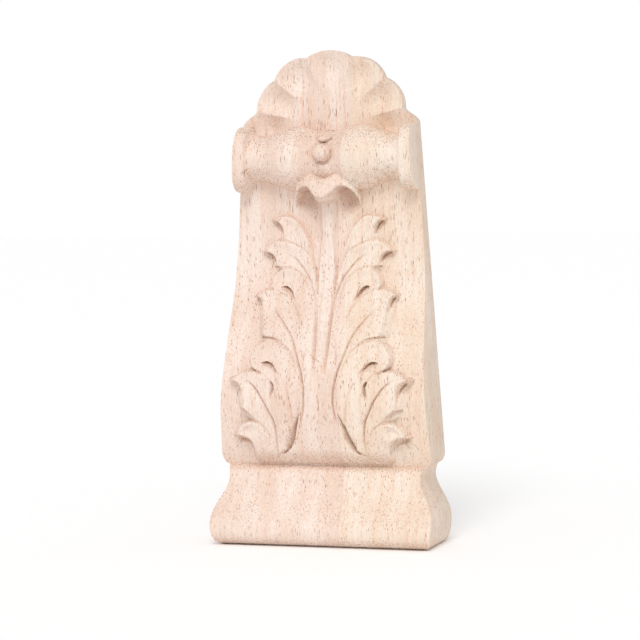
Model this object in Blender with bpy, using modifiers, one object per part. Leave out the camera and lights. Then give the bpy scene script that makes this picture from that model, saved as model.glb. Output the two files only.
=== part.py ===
"""Carved wood applique: a console-shaped block with a moulded foot, a tapering panel that
carries a stalk of acanthus leaves, a turned roll with a bead, and a shell that crowns it.

One piece of wood. It stands on its foot, its flat back faces +Y and its carved front faces -Y.
The carving is a relief: at each place across the front it has one depth over the flat back.
Sizes below are millimetres, and the model is in metres.
"""
import math
from dataclasses import dataclass

import bmesh
import bpy
import numpy as np
from mathutils.geometry import delaunay_2d_cdt
from mathutils.kdtree import KDTree

MM = 0.001

# Whole block
HEIGHT = 160.0
WIDTH = 75.0
DEPTH = 24.9
HINGE_Z = 135.0          # hinge of the shell's fan
ROLL_Z = 125.0           # axis of the turned roll
CREASE_Z = 25.7          # where the foot meets the panel

# Mesh of the front
FRONT_TRIANGLES = 3900   # on one half, after thinning
CELL = 0.55              # spacing of the sheet before it is thinned
MIDDLE_SNAP = 0.2        # points this close to the middle or the floor lie on it
MIDDLE_MERGE = 0.01      # points of the two halves this close are joined

# Colour of the bare wood: linear red, green, blue and alpha
WOOD_COLOUR = (0.86, 0.70, 0.56, 1.0)
WOOD_ROUGHNESS = 0.62

Field = np.ndarray
Line = tuple[tuple[float, float], ...]


def ease(value: Field, low: float, high: float) -> Field:
    """Smooth step from 0 at low to 1 at high."""
    share = np.clip((value - low) / (high - low), 0, 1)
    return share * share * (3 - 2 * share)


def spline(points: Line, per_span: int = 8) -> Field:
    """Smooth curve through points.

    Args:
        points: places that the curve passes through.
        per_span: short runs between two of them.

    Returns:
        The curve's own points, one row each.
    """
    marks = np.asarray(points, float)
    marks = np.vstack([2 * marks[0] - marks[1], marks, 2 * marks[-1] - marks[-2]])
    t = np.linspace(0, 1, per_span, endpoint=False)[:, None]
    runs = []
    for a, b, c, d in zip(marks[:-3], marks[1:-2], marks[2:-1], marks[3:]):
        bend = (2 * a - 5 * b + 4 * c - d) * t**2 + (3 * b - a - 3 * c + d) * t**3
        runs.append(b + 0.5 * ((c - a) * t + bend))
    return np.vstack(runs + [marks[-2:-1]])


def lengths(line: Field) -> Field:
    """Distance run along a line at each of its points."""
    return np.concatenate([[0], np.cumsum(np.hypot(*np.diff(line, axis=0).T))])


def beside(x: Field, z: Field, line: Field) -> tuple[Field, Field]:
    """Distance from each place to a line, negative on the line's left.

    Args:
        x: places across.
        z: places up.
        line: the line's points.

    Returns:
        The distances, and the share of the line's length at the nearest places.
    """
    run = lengths(line)
    best = np.full(x.shape, np.inf)
    share = np.zeros(x.shape)
    for (ax, az), (bx, bz), start, end in zip(line[:-1], line[1:], run[:-1], run[1:]):
        dx, dz = bx - ax, bz - az
        t = np.clip(((x - ax) * dx + (z - az) * dz) / (dx * dx + dz * dz + 1e-12), 0, 1)
        distance = np.hypot(x - ax - t * dx, z - az - t * dz)
        closer = distance < np.abs(best)
        side = np.where(dx * (z - az) - dz * (x - ax) > 0, -1, 1)
        best = np.where(closer, side * distance, best)
        share = np.where(closer, (start + t * (end - start)) / run[-1], share)
    return best, share


def nearest(x: Field, z: Field, line: Field) -> tuple[Field, Field]:
    """Distance from each place to a line, and the share of its length at the nearest places."""
    distance, share = beside(x, z, line)
    return np.abs(distance), share


def tracks(points: Line, aside: tuple[float, ...], step: float) -> Field:
    """Places set evenly along a line and beside it.

    Args:
        points: marks of the line.
        aside: distances from the line, to its right, at which to set places.
        step: distance between places.

    Returns:
        The places, one row each.
    """
    line = spline(points)
    run = lengths(line)
    at = np.arange(0, run[-1], step)
    middle = np.column_stack([np.interp(at, run, line[:, 0]), np.interp(at, run, line[:, 1])])
    way = np.gradient(middle, axis=0)
    way /= np.hypot(way[:, :1], way[:, 1:]) + 1e-12
    right = np.column_stack([way[:, 1], -way[:, 0]])
    return np.vstack([middle + right * distance for distance in aside])


def inside_by(x: Field, z: Field, ring: Field) -> Field:
    """Distance of each place to a closed outline, positive inside it.

    Args:
        x: places across.
        z: places up.
        ring: the outline's points.

    Returns:
        The distances.
    """
    closed = np.vstack([ring, ring[:1]])
    distance, _ = nearest(x, z, closed)
    inside = np.zeros(x.shape, bool)
    for (ax, az), (bx, bz) in zip(closed[:-1], closed[1:]):
        if az != bz:
            spans = (az > z) != (bz > z)
            inside ^= spans & (x < (bx - ax) * (z - az) / (bz - az) + ax)
    return np.where(inside, distance, -distance)


def close_to(x: Field, z: Field, points: Line, margin: float = 1.5) -> Field:
    """Which places lie in the box round some points, widened by a margin.

    Args:
        x: places across.
        z: places up.
        points: the points.
        margin: how far the box is widened on each side.

    Returns:
        True for the places in the box.
    """
    low = np.min(points, axis=0) - margin
    high = np.max(points, axis=0) + margin
    return (x > low[0]) & (x < high[0]) & (z > low[1]) & (z < high[1])


def along(points: Line, at: Field) -> Field:
    """Value of a profile's smooth curve at each place."""
    curve = spline(points, 16)
    return np.interp(at, curve[:, 0], curve[:, 1])


def rising_through(x: Field, z: Field, marks: tuple[tuple[float, float, float], ...],
                   softness: float) -> Field:
    """Smooth height through marked places.

    Args:
        x: places across.
        z: places up.
        marks: x, z and height of each mark.
        softness: how far the height may round a mark off, in square millimetres.

    Returns:
        The height at each place.
    """
    total = np.zeros(x.shape)
    weights = np.zeros(x.shape)
    for mark_x, mark_z, height in marks:
        weight = 1 / ((x - mark_x) ** 2 + (z - mark_z) ** 2 + softness) ** 2
        total += weight * height
        weights += weight
    return total / weights


@dataclass(frozen=True)
class BlockOutline:
    """Outline of the block seen from the front: foot, neck, tapering panel and scalloped top."""

    height: float = HEIGHT
    foot_half: float = 34.6
    bulge_half: float = WIDTH / 2
    neck_half: float = 32.5
    panel_foot_half: float = 35.9
    taper: float = 0.0575
    bulge_z: float = 8.0
    neck_z: float = 22.3
    crease_z: float = CREASE_Z
    corner_z: float = 29.6
    shoulder_z: float = 135.8
    hinge_z: float = HINGE_Z
    ridge_angles: tuple[float, ...] = (13.0, 40.0, 72.0)
    notch_radii: tuple[float, ...] = (25.5, 24.3, 23.7)
    lobe_rises: tuple[float, ...] = (1.2, 1.6, 1.25)
    lobe_fullness: float = 0.8   # below 1 the rim's lobes are fuller than a sine
    neck_flare: float = 0.9      # how far the neck opens again up to the crease
    ogee_lean: float = 1.1       # above 1 the foot's curve bends later

    def half_width(self, z: Field) -> Field:
        """Half width of the block at each height below the shell.

        Args:
            z: heights.

        Returns:
            The half widths.
        """
        z = np.asarray(z, float)
        drop = 1 - np.sqrt(np.clip(1 - ((self.bulge_z - z) / self.bulge_z) ** 2, 0, 1))
        foot = self.bulge_half - (self.bulge_half - self.foot_half) * drop
        up = np.clip((z - self.bulge_z) / (self.neck_z - self.bulge_z), 0, 1)
        drawn_in = self.bulge_half - self.neck_half
        ogee = self.neck_half + drawn_in * 0.5 * (1 + np.cos(math.pi * up**self.ogee_lean))
        above = np.clip((z - self.neck_z) / (self.crease_z - self.neck_z), 0, 1)
        neck = self.neck_half + self.neck_flare * above**2
        turn = np.clip((self.corner_z - z) / (self.corner_z - self.crease_z), 0, 1)
        overhang = self.panel_foot_half - self.neck_half - self.neck_flare
        panel = self.panel_foot_half - self.taper * (z - self.crease_z)
        panel = panel - overhang * (1 - np.sqrt(np.clip(1 - turn**2, 0, 1)))
        upper = np.where(z < self.crease_z, neck, panel)
        return np.where(z < self.bulge_z, foot, np.where(z < self.neck_z, ogee, upper))

    def shoulder(self) -> tuple[float, float]:
        """Radius and angle, in degrees from +X about the hinge, where the shell's edge starts.

        Returns:
            Radius and angle.
        """
        across = float(self.half_width(self.shoulder_z))
        up = self.shoulder_z - self.hinge_z
        return math.hypot(across, up), math.degrees(math.atan2(up, across))

    def rim_radius(self, angle: Field) -> Field:
        """Radius of the scalloped rim at each angle in degrees.

        Args:
            angle: angles from +X about the hinge.

        Returns:
            The radii.
        """
        marks = [*self.ridge_angles, 180 - self.ridge_angles[-1]]
        notches = [*self.notch_radii, self.notch_radii[-1]]
        radius = np.interp(angle, marks, notches)
        for low, high, rise in zip(marks[:-1], marks[1:], self.lobe_rises):
            share = np.clip((angle - low) / (high - low), 0, 1)
            radius = radius + rise * np.sin(math.pi * share) ** self.lobe_fullness
        reach, start = self.shoulder()
        share = ease(marks[0] - angle, 0, marks[0] - start)
        return np.where(angle < marks[0], notches[0] + (reach - notches[0]) * share, radius)

    def edge(self, step: float) -> list[tuple[float, float]]:
        """Points round the right half, from the bottom centre and back down the middle.

        Args:
            step: distance between points.

        Returns:
            The points, x and z.
        """
        foot = [(x, 0.0) for x in np.arange(0, self.foot_half - step / 2, step)]
        heights = np.linspace(0, self.shoulder_z, round(self.shoulder_z / step), endpoint=False)
        side = list(zip(self.half_width(heights), heights))
        _, start = self.shoulder()
        count = round(math.radians(90 - start) * self.notch_radii[0] / step)
        angles = np.linspace(start, 90, count)
        radii = self.rim_radius(angles)
        turn = np.radians(angles)
        rim = list(zip(radii * np.cos(turn), self.hinge_z + radii * np.sin(turn)))
        rim[-1] = (0.0, self.height)
        middle = [(0.0, z) for z in np.arange(self.height - step, step / 2, -step)]
        return foot + side + rim + middle


@dataclass(frozen=True)
class Moulding:
    """Front profiles of the foot and of the panel over it, as height and depth over the back."""

    foot: Line = (
        (0.0, 20.0), (0.9, 22.6), (2.4, 24.2), (4.6, 24.9), (7.2, 24.6), (10.0, 23.2), (13.0, 21.4),
        (16.0, 19.8), (19.0, 18.9), (22.0, 18.2), (24.4, 17.2), (25.7, 15.3))
    panel: Line = (
        (25.7, 14.9), (26.8, 15.3), (31.0, 16.7), (38.0, 18.1), (47.0, 19.0), (56.0, 17.6),
        (65.0, 14.8), (74.0, 11.7), (83.0, 8.9), (92.0, 7.2), (101.0, 6.55), (112.0, 6.4), (124.0, 6.4))

    def foot_depth(self, z: Field, most: float) -> Field:
        """Depth of the moulded foot, at most as deep as the block."""
        return np.minimum(along(self.foot, z), most)

    def panel_depth(self, z: Field) -> Field:
        """Depth of the plain panel between the leaves."""
        return along(self.panel, z)


@dataclass(frozen=True)
class TurnedRoll:
    """Roll across the top of the panel, with a pinched middle, two swellings and end flanges."""

    z: float = ROLL_Z
    depth_at: float = 4.5
    flange_radius: float = 10.8
    flange_from: float = 25.6    # where the step up to the flange starts and ends
    flange_to: float = 26.5
    flange_front: float = 10.6
    flange_square: float = 0.9   # how far the flange's round is squared off
    profile: Line = (
        (0.0, 8.6), (2.5, 8.7), (4.6, 9.2), (6.8, 10.0), (9.4, 10.7), (12.0, 10.8), (15.0, 10.1),
        (18.0, 8.8), (21.0, 7.8), (23.5, 7.6), (25.6, 8.3))
    front: Line = (
        (0.0, 8.3), (2.5, 8.5), (4.6, 9.2), (6.8, 10.2), (9.4, 11.1), (12.0, 11.3), (15.0, 10.8),
        (18.0, 9.9), (21.0, 9.3), (23.5, 9.4), (25.6, 10.0))

    def depth(self, x: Field, z: Field) -> Field:
        """Depth of the roll, and 0 beside it.

        Args:
            x: places across.
            z: places up.

        Returns:
            The depths.
        """
        radius = along(self.profile, x)
        reach = along(self.front, x)
        step = ease(x, self.flange_from, self.flange_to)
        radius = radius + (self.flange_radius - radius) * step
        reach = reach + (self.flange_front - reach) * step
        power = 2 + self.flange_square * step
        rest = 1 - np.abs((z - self.z) / radius) ** power
        return np.where(rest > 0, self.depth_at + reach * np.clip(rest, 0, None) ** (1 / power), 0)


@dataclass(frozen=True)
class ScallopShell:
    """Fan of scooped flutes with sharp ridges between them, about a hinge behind the roll."""

    hinge_depth: float = 2.9
    rim_rise: float = 1.5
    rim_turn: float = 4.5
    scoop: float = 2.3
    ridge_rise: float = 0.7
    lowest_angle: float = -16.0
    flute_fullness: float = 1.7  # above 1 the flutes are wide, with narrow ridges
    flutes_from: float = 11.5    # radii between which the flutes grow to their full depth
    flutes_full: float = 20.0
    rim_radius: float = 25.5
    rim_flatness: float = 0.4    # share by which they are shallower at the rim

    def depth(self, x: Field, z: Field, outline: BlockOutline) -> Field:
        """Depth of the fluted shell.

        Args:
            x: places across.
            z: places up.
            outline: the block's outline, which holds the ridges' angles.

        Returns:
            The depths.
        """
        radius = np.hypot(x, z - outline.hinge_z)
        angle = np.degrees(np.arctan2(z - outline.hinge_z, x))
        marks = [self.lowest_angle, *outline.ridge_angles, 180 - outline.ridge_angles[-1]]
        share = np.zeros(x.shape)
        for low, high in zip(marks[:-1], marks[1:]):
            share = np.where((angle >= low) & (angle < high), (angle - low) / (high - low), share)
        hollow = 1 - np.abs(2 * share - 1) ** self.flute_fullness
        grown = ease(radius, self.flutes_from, self.flutes_full)
        dish = self.hinge_depth + self.rim_rise * (radius / self.rim_radius) ** self.rim_turn
        flatter_rim = 1 - self.rim_flatness * ease(radius, self.flutes_full, self.rim_radius)
        return dish + grown * (self.ridge_rise - self.scoop * hollow * flatter_rim)


@dataclass(frozen=True)
class BeadDrop:
    """A round bead on the middle of the roll, with a teardrop over it and a bell-shaped collar under it."""

    bead_z: float = 126.9
    bead_radius: float = 3.0
    bead_depth: float = 13.3
    collar_top: float = 124.2
    collar_foot: float = 118.0
    collar_half: float = 3.3
    collar_rise: float = 0.6
    tear_z: float = 130.2
    tear_length: float = 4.2
    tear_half: float = 2.5
    tear_round: float = 0.5      # share of its height taken by its round foot
    tear_narrows: float = 0.3    # share of its height where it starts to narrow
    tear_rise: float = 0.9       # share of its half width that it stands out by
    moat: float = 0.9            # depth of the groove round bead and tear
    moat_width: float = 0.9
    collar_neck: float = 0.35    # the collar's width at its top, as a share

    def over(self, x: Field, z: Field, depth: Field, roll: TurnedRoll) -> Field:
        """The depth with the beads added on it.

        Args:
            x: places across.
            z: places up.
            depth: depth without them.
            roll: the roll that they lie on.

        Returns:
            The depths.
        """
        middle_radius = roll.profile[1][1]
        ground = roll.depth_at + np.sqrt(np.clip(middle_radius**2 - (z - roll.z) ** 2, 0, None))
        down = np.clip((self.collar_top - z) / (self.collar_top - self.collar_foot), 0, 1)
        width = self.collar_half * (self.collar_neck + (1 - self.collar_neck) * np.sqrt(down))
        arch = np.sqrt(np.clip(1 - (x / width) ** 2, 0, 1))
        bell = ground + self.collar_rise * arch * ease(down, 0, 0.3)
        depth = np.where((x < width) & (down > 0) & (down < 1), np.maximum(depth, bell), depth)
        away = np.hypot(x, z - self.bead_z) - self.bead_radius
        depth = depth - self.moat * np.exp(-((away / self.moat_width) ** 2))
        rest = self.bead_radius**2 - x**2 - (z - self.bead_z) ** 2
        ball = np.where(rest > 0, self.bead_depth + np.sqrt(np.clip(rest, 0, None)), 0)
        depth = np.maximum(depth, ball)
        up = np.clip((z - self.tear_z) / self.tear_length, 0, 1)
        round_end = np.sqrt(1 - (1 - np.clip(up / self.tear_round, 0, 1)) ** 2)
        half = self.tear_half * round_end * (1 - ease(up, self.tear_narrows, 1))
        beyond = (x - half) / self.moat_width
        depth = depth - self.moat * np.exp(-(beyond**2)) * ease(up, 0, 0.1) * (1 - ease(up, 0.8, 1))
        rest = half**2 - x**2
        tear = ground + self.tear_rise * np.sqrt(np.clip(rest, 0, None))
        return np.where((rest > 0) & (up > 0) & (up < 1), np.maximum(depth, tear), depth)


@dataclass(frozen=True)
class LeafCurl:
    """Leaf end turned over below the bead: a cap with two arms, and a round tongue between them."""

    outer: Line = (
        (-3.5, 120), (-1.7, 119.2), (0, 118.7), (1.7, 119.2), (3.5, 120), (5, 120), (6.6, 119.3),
        (8.6, 117.9), (10.1, 115.8), (11, 113.5), (11.4, 111), (11.3, 107.5))
    inner: Line = (
        (10.8, 108), (10.4, 111), (9.6, 113.3), (8.1, 115), (6.6, 115.7), (5.5, 115.6), (4.5, 114.9),
        (3.4, 113.6), (2, 112.5), (0, 112), (-2, 112.5))
    marks: tuple[tuple[float, float, float], ...] = (
        (0, 112, 16.3), (2, 112.5, 16.1), (3.4, 113.6, 15.4), (4.5, 114.9, 14.6), (5.5, 115.6, 14),
        (6.6, 115.7, 13.4), (8.1, 115, 12.2), (9.6, 113.3, 10.4), (10.4, 111, 8.4), (10.9, 107.8, 6.6),
        (0, 118.7, 13.3), (3.5, 120, 12.9), (5, 120, 12.6), (6.6, 119.3, 12.4), (8.6, 117.9, 11.9),
        (10.1, 115.8, 10.9), (11, 113.5, 9.3), (11.4, 111, 7.9), (11.3, 107.5, 6.5), (0, 115.4, 15.1),
        (3.2, 116.9, 14.5))
    tongue_top: float = 114.6
    tongue_edge: float = 112.0
    tongue_foot: float = 110.2
    tongue_half: float = 4.3
    tongue_back: float = 1.5     # how far it stands back from the cap's lip
    tongue_fullness: float = 0.35
    blend: float = 2.0           # how far the marks' depths run into each other, mm2
    lip_rounding: float = 0.5
    cap_foot: float = 5.5        # depth at which the cap's walls start
    stem_depth: float = 10.4
    ground: float = 6.4
    hollow_x: float = 7.0
    hollow_half: float = 3.6
    hollow_depth: float = 4.0
    hollow_foot: float = 105.0   # heights between which it grows to its full depth
    hollow_full: float = 114.5
    hollow_top: float = 118.0

    def depth(self, x: Field, z: Field) -> Field:
        """Depth of the cap and the tongue, and 0 beside them.

        Args:
            x: places across.
            z: places up.

        Returns:
            The depths.
        """
        ring = np.vstack([spline(self.outer), spline(self.inner)])
        within = inside_by(x, z, ring)
        near = within > -0.3
        cap = np.zeros(x.shape)
        face = rising_through(x[near], z[near], self.marks, self.blend)
        high = face - self.lip_rounding * (1 - ease(within[near], 0, 1.2)) - self.cap_foot
        cap[near] = self.cap_foot + high * ease(within[near], -0.2, 0.35)
        high = self.tongue_top - self.tongue_foot
        down = np.clip((self.tongue_top - z) / high, 0, 1)
        reach = self.tongue_half * np.sqrt(np.clip(1 - down**2.4, 0, 1)) + 1e-6
        under = np.clip((self.tongue_edge - z) / (self.tongue_edge - self.tongue_foot), 0, 1)
        lip = self.marks[0][2] - self.tongue_back
        front = self.stem_depth + (lip - self.stem_depth) * np.sqrt(1 - under**2)
        across = np.clip(1 - (x / reach) ** 2, 0, 1) ** self.tongue_fullness
        there = (x < reach) & (z < self.tongue_top) & (z > self.tongue_foot)
        return np.maximum(cap, np.where(there, self.ground + (front - self.ground) * across, 0))

    def hollow(self, x: Field, z: Field) -> Field:
        """How far the panel is sunk under each arm of the cap.

        Args:
            x: places across.
            z: places up.

        Returns:
            The depths to take off.
        """
        across = np.clip(1 - ((x - self.hollow_x) / self.hollow_half) ** 2, 0, 1)
        grown = ease(z, self.hollow_foot, self.hollow_full)
        return np.where(z < self.hollow_top, self.hollow_depth * across * grown, 0)


@dataclass(frozen=True)
class Leaf:
    """One leaf of the stalk on the right half.

    top runs along its upper edge from root to tip, under along its lower edge from tip to root
    without the tip itself. It parts from what lies under it at the share free_from of its upper
    edge, and stands lift over that. lip is the height of the fine rim inside its edge and dish
    the depth of its hollow. Its lower wall slopes out over the width foot.
    """

    top: Line
    under: Line
    free_from: float
    lift: float = 0.3
    lip: float = 0.1
    dish: float = 0.45
    foot: float = 1.4
    rim_in: float = 0.7          # the fine rim's distance inside the edge, and its width
    rim_width: float = 0.35
    parting: float = 0.3         # share of the edge over which the leaf parts
    low_edge: float = 0.88       # share of its height that the wall reaches at the edge

    def ring(self) -> Field:
        """The leaf's closed outline."""
        return np.vstack([spline(self.top), spline((self.top[-1],) + self.under)[1:]])

    def relief(self, x: Field, z: Field) -> tuple[Field, Field, Field, Field]:
        """Shape of the leaf at each place.

        Args:
            x: places across.
            z: places up.

        Returns:
            Height over the foliage's common level, distance inside the leaf's outline, how far
            the leaf is parted from what lies under it, and share of the full height it stands at.
        """
        over, share = nearest(x, z, spline(self.top))
        below, _ = nearest(x, z, spline((self.top[-1],) + self.under))
        within = inside_by(x, z, self.ring())
        free = ease(share, self.free_from - self.parting, self.free_from)
        rim = self.lip * np.exp(-(((within - self.rim_in) / self.rim_width) ** 2))
        hollow = self.dish * ease(within, 0.9, 3.0) * ease(share, 0.35, 0.7)
        out = 0.15 + self.foot * ease(over / (over + below + 1e-9), 0.4, 0.75)
        wall = 1 - (1 - np.clip((within + out) / (out + 0.45), 0, 1)) ** 1.2
        wall = wall * (self.low_edge + (1 - self.low_edge) * ease(within, 0, 1.2))
        return self.lift * free + rim - hollow, within, free, wall


@dataclass(frozen=True)
class VeeCut:
    """A sharp cut along a line with rolled shoulders, its depths given at even shares of its run."""

    line: Line
    half: float
    depths: tuple[float, ...]
    shoulder: float = 1.3
    sharpness: float = 0.7       # share of the depth that is the sharp cut

    def depth(self, x: Field, z: Field) -> Field:
        """How far the cut takes the surface down at each place.

        Args:
            x: places across.
            z: places up.

        Returns:
            The depths to take off.
        """
        distance, share = nearest(x, z, spline(self.line))
        deep = np.interp(share, np.linspace(0, 1, len(self.depths)), self.depths)
        sharp = np.clip(1 - distance / self.half, 0, 1)
        rolled = np.exp(-((distance / self.shoulder) ** 2))
        return deep * (self.sharpness * sharp + (1 - self.sharpness) * rolled)


@dataclass(frozen=True)
class Scoop:
    """A hollow cut in from one side: steep to the left of its line, rising gently on the right."""

    line: Line
    deep: float
    soft: float
    steep: float = 0.3
    tail: float = 0.6            # share of the run over which it grows from its thin end
    head: float = 0.22           # share over which it closes at the tip
    thin: float = 0.45           # width of the thin end, as a share
    bend: float = 1.6            # above 1 the gentle side rises steeply first

    def depth(self, x: Field, z: Field) -> Field:
        """How far the scoop takes the surface down at each place.

        Args:
            x: places across.
            z: places up.

        Returns:
            The depths to take off.
        """
        distance, share = beside(x, z, spline(self.line))
        grown = ease(share, 0, self.tail)
        reach = self.soft * (self.thin + (1 - self.thin) * grown)
        gentle = (1 - np.clip(distance / reach, 0, 1)) ** self.bend
        sharp = np.clip(1 + distance / self.steep, 0, 1)
        ends = grown * ease(1 - share, 0, self.head)
        return self.deep * ends * np.where(distance > 0, gentle, sharp)


@dataclass(frozen=True)
class AcanthusStalk:
    """The stalk of leaves on the panel: one flush mass of trunk and leaves, stem, cuts and scoops."""

    level: Line = ((20, 3.0), (30, 3.4), (42, 3.8), (58, 3.9), (72, 3.6), (84, 3.1), (96, 2.5), (108, 2.0))
    stem_lift: Line = ((50, 0.0), (58, 0.3), (70, 0.6), (82, 0.5), (92, 0.5), (102, 0.9), (114, 1.4))
    stem_half: float = 2.6
    stem_foot: float = 54.0
    stem_top: float = 114.0
    web_rise: float = 1.5        # low web of wood beside the stem, its place, width and top
    web_x: float = 3.0
    web_width: float = 3.0
    web_fades: float = 94.0
    web_ends: float = 108.0
    edge_width: float = 0.4
    stem_grows: float = 14.0     # height over which the stem rises out of the trunk
    trunk_side: Line = (
        (0.6, 112), (2.2, 103), (3, 93), (3.8, 85), (4.8, 78), (5.2, 72), (5.8, 62), (6.8, 46),
        (8.2, 39), (9.4, 34.5), (11.6, 31.4), (14.4, 29.8), (17.5, 28), (20, 26.2))
    edge_cut: float = 0.45
    tuck_z: float = 25.9
    tuck_height: float = 6.0
    tuck_least: float = 0.1
    leaves: tuple[Leaf, ...] = (
        # top leaf
        Leaf(((2.6, 82), (4.6, 92.5), (6.6, 99.3), (9, 103.2), (11.3, 105.7), (13.4, 106.7),
              (16.4, 106.5), (19.6, 105.2)),
             ((17.6, 104.6), (15.6, 102.4), (15.2, 98.3), (14, 94.5), (6, 87), (4, 80)),
             free_from=0.2, lift=0.2),
        # hooked leaf under it
        Leaf(((2.4, 74), (3.5, 87), (4.7, 90.5), (6.4, 93.9), (9.4, 96.2), (13, 97.8), (17, 98.9),
              (19.4, 97.7), (21.3, 95.9), (22.8, 95)),
             ((20.3, 94.4), (18.3, 93), (17.5, 90.2), (15.8, 89.4), (9.5, 85.5), (5, 75), (3.6, 68)),
             free_from=0.3, lift=0.2),
        # its round lobe
        Leaf(((3, 70), (4.6, 79), (7.2, 85.6), (9.6, 88.2), (12.2, 89.4), (15, 89.7), (17.1, 88.5),
              (18.4, 86.4), (18.8, 84.2), (18, 82.2), (16, 81.2)),
             ((12.4, 78), (8.6, 70), (6.2, 58)),
             free_from=0.42, lift=0.35, lip=0.22, dish=0.55, foot=1.5),
        # middle hooked leaf
        Leaf(((4.6, 56), (6.6, 68), (9.6, 76.6), (12.4, 80), (15.6, 82), (18, 82.9), (20.6, 82.9),
              (22.6, 82), (24.4, 80.9)),
             ((22.8, 80), (21.7, 78), (20.7, 71), (20, 67.6), (15.2, 63.4), (9.6, 57.5), (6.2, 43)),
             free_from=0.5, lift=0.3, lip=0.1, dish=0.3, foot=1.9),
        # its round lobe
        Leaf(((5.8, 44), (6.8, 54), (9.4, 61.4), (12, 64.2), (15.5, 66.4), (19, 66.9), (22, 65.1),
              (23.8, 62.6), (24.2, 60.6), (23.4, 58.3), (21.5, 56.6)),
             ((19.6, 55.4), (17.2, 50.2), (14.8, 41.6), (12.6, 31)),
             free_from=0.45, lift=0.35, lip=0.22, dish=0.55, foot=1.3),
        # lower hooked leaf
        Leaf(((11.4, 31), (13, 42), (15.2, 50.6), (17.6, 54.8), (20.3, 56.5), (23, 57.2), (25.5, 57),
              (27.6, 56), (29.2, 55), (30.9, 54.2)),
             ((28.2, 53), (26.6, 51), (26.1, 45), (22.8, 41.6), (19.4, 37), (14.6, 28.5)),
             free_from=0.5, lift=0.3, lip=0.15, dish=0.3, foot=1.9),
        # lowest lobe
        Leaf(((13.5, 29.5), (16.6, 35), (19, 38.6), (21.5, 40.4), (24, 40.7), (26.5, 39.7),
              (27.8, 38.1), (28.7, 36.7), (30.2, 36)),
             ((27, 35.2), (24.2, 34), (23.3, 31.4), (22.8, 28), (20.6, 26.4), (17.4, 27.4), (15, 28.6)),
             free_from=0.45, lift=0.3, lip=0.1, dish=0.7, foot=0.8),
    )
    cuts: tuple[VeeCut, ...] = (
        # vein of the upper hooked leaf
        VeeCut(((14.4, 94.4), (11, 92.6), (9, 90.6), (7, 88), (5.4, 85.5), (4.3, 82.5), (3.3, 79.5),
                (2.8, 76.5)),
               half=0.36, depths=(0, 0.7, 0.9, 0.9, 1.0, 1.1), shoulder=1.0),
        # groove beside the stem, upper half
        VeeCut(((2.9, 108), (3.0, 95), (3.0, 84), (2.8, 76)),
               half=0.6, depths=(0.3, 0.6, 0.7, 1.3), shoulder=1.0),
        # groove beside the stem, lower half
        VeeCut(((2.8, 77), (2.5, 72), (2.3, 66), (2.1, 61), (1.95, 57), (1.9, 54)),
               half=0.65, depths=(1.3, 1.8, 2.1, 2.0, 1.3, 0), shoulder=1.0),
        # vein of the middle hooked leaf
        VeeCut(((19, 77.7), (16, 75), (13, 71.5), (10.5, 68), (9, 64.5), (7.6, 60.5), (6.2, 56.5),
                (5.4, 53), (5, 50), (5, 46), (5.6, 42.5), (6.3, 40), (7, 37.5)),
               half=0.42, depths=(0, 0.8, 1.0, 1.2, 1.5, 1.6, 1.6, 1.2, 0)),
        # vein of the lower hooked leaf
        VeeCut(((26, 54.2), (24, 53.4), (22, 51.8), (20.5, 50), (18.7, 47.2), (17, 43.8), (15.7, 41),
                (15.1, 38), (14.9, 35), (15, 31.3), (15.4, 28)),
               half=0.42, depths=(0, 1.1, 1.3, 1.4, 1.4, 1.2, 0.9, 0.5)),
        # vein of the middle lobe
        VeeCut(((13.4, 55.6), (12, 53), (10.5, 50), (9.5, 46), (9, 42), (8.8, 39)),
               half=0.4, depths=(0.1, 0.6, 0.7, 0.5), shoulder=1.0),
        # foot of the trunk, beside the lowest leaves
        VeeCut(((8.7, 38.5), (9, 36), (9.8, 33.8), (11, 31.7), (13.4, 30.2), (17, 28.4), (20, 26.5)),
               half=0.5, depths=(0, 0.4, 1.1, 1.0, 0.6, 0.3), shoulder=1.2),
        # line between middle hook and lobe
        VeeCut(((20.6, 67.4), (17.5, 67.3), (14, 66.2), (11.6, 64.2)),
               half=0.45, depths=(1.4, 0.9, 0.4, 0), shoulder=1.0),
    )
    scoops: tuple[Scoop, ...] = (
        # under the top leaf's tip
        Scoop(((15.6, 98.6), (15.8, 101.2), (16.5, 103.2), (17.6, 104.3), (19.4, 104.6)),
              deep=2.9, soft=1.8),
        # under the upper hook's tip
        Scoop(((17.6, 89.6), (17.9, 91.6), (18.7, 93.3), (20.2, 94.3), (22.2, 94.4)),
              deep=3.1, soft=1.7),
        # over the upper lobe
        Scoop(((15.6, 89.2), (17, 89.8), (18.6, 90)),
              deep=1.3, soft=1.2),
        # eye of the upper lobe
        Scoop(((9.4, 77.4), (10.1, 79), (11, 81), (12.3, 82.8), (13.8, 83.6), (15.4, 83.1)),
              deep=2.9, soft=2.0),
        # under the middle hook's tip
        Scoop(((21.4, 74), (21.8, 78), (22.7, 79.6), (24.2, 80.2)),
              deep=2.7, soft=1.7),
        # eye of the middle lobe
        Scoop(((13, 55), (14.2, 56.6), (15.2, 57.9), (16.4, 59.1), (18, 59.7), (20.2, 59.2)),
              deep=2.7, soft=2.2),
        # drop-shaped eye beside the lower hook
        Scoop(((16.5, 47), (15.9, 49), (15.4, 51), (15.5, 52.6), (16.6, 53.9)),
              deep=2.8, soft=1.1),
        # under the lower hook's tip
        Scoop(((26.5, 46), (26.5, 50), (28, 52.5), (30.2, 53.3)),
              deep=2.8, soft=1.7),
        # between lower hook and lowest lobe
        Scoop(((22, 40.6), (23.4, 42.6), (25.4, 44.1), (28, 44.6)),
              deep=2.6, soft=2.2),
        # under the lowest lobe's tip
        Scoop(((23.2, 28.6), (23.4, 32), (24.6, 34.4), (26.8, 35.1), (29.8, 35.2)),
              deep=3.6, soft=2.0),
    )

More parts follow.
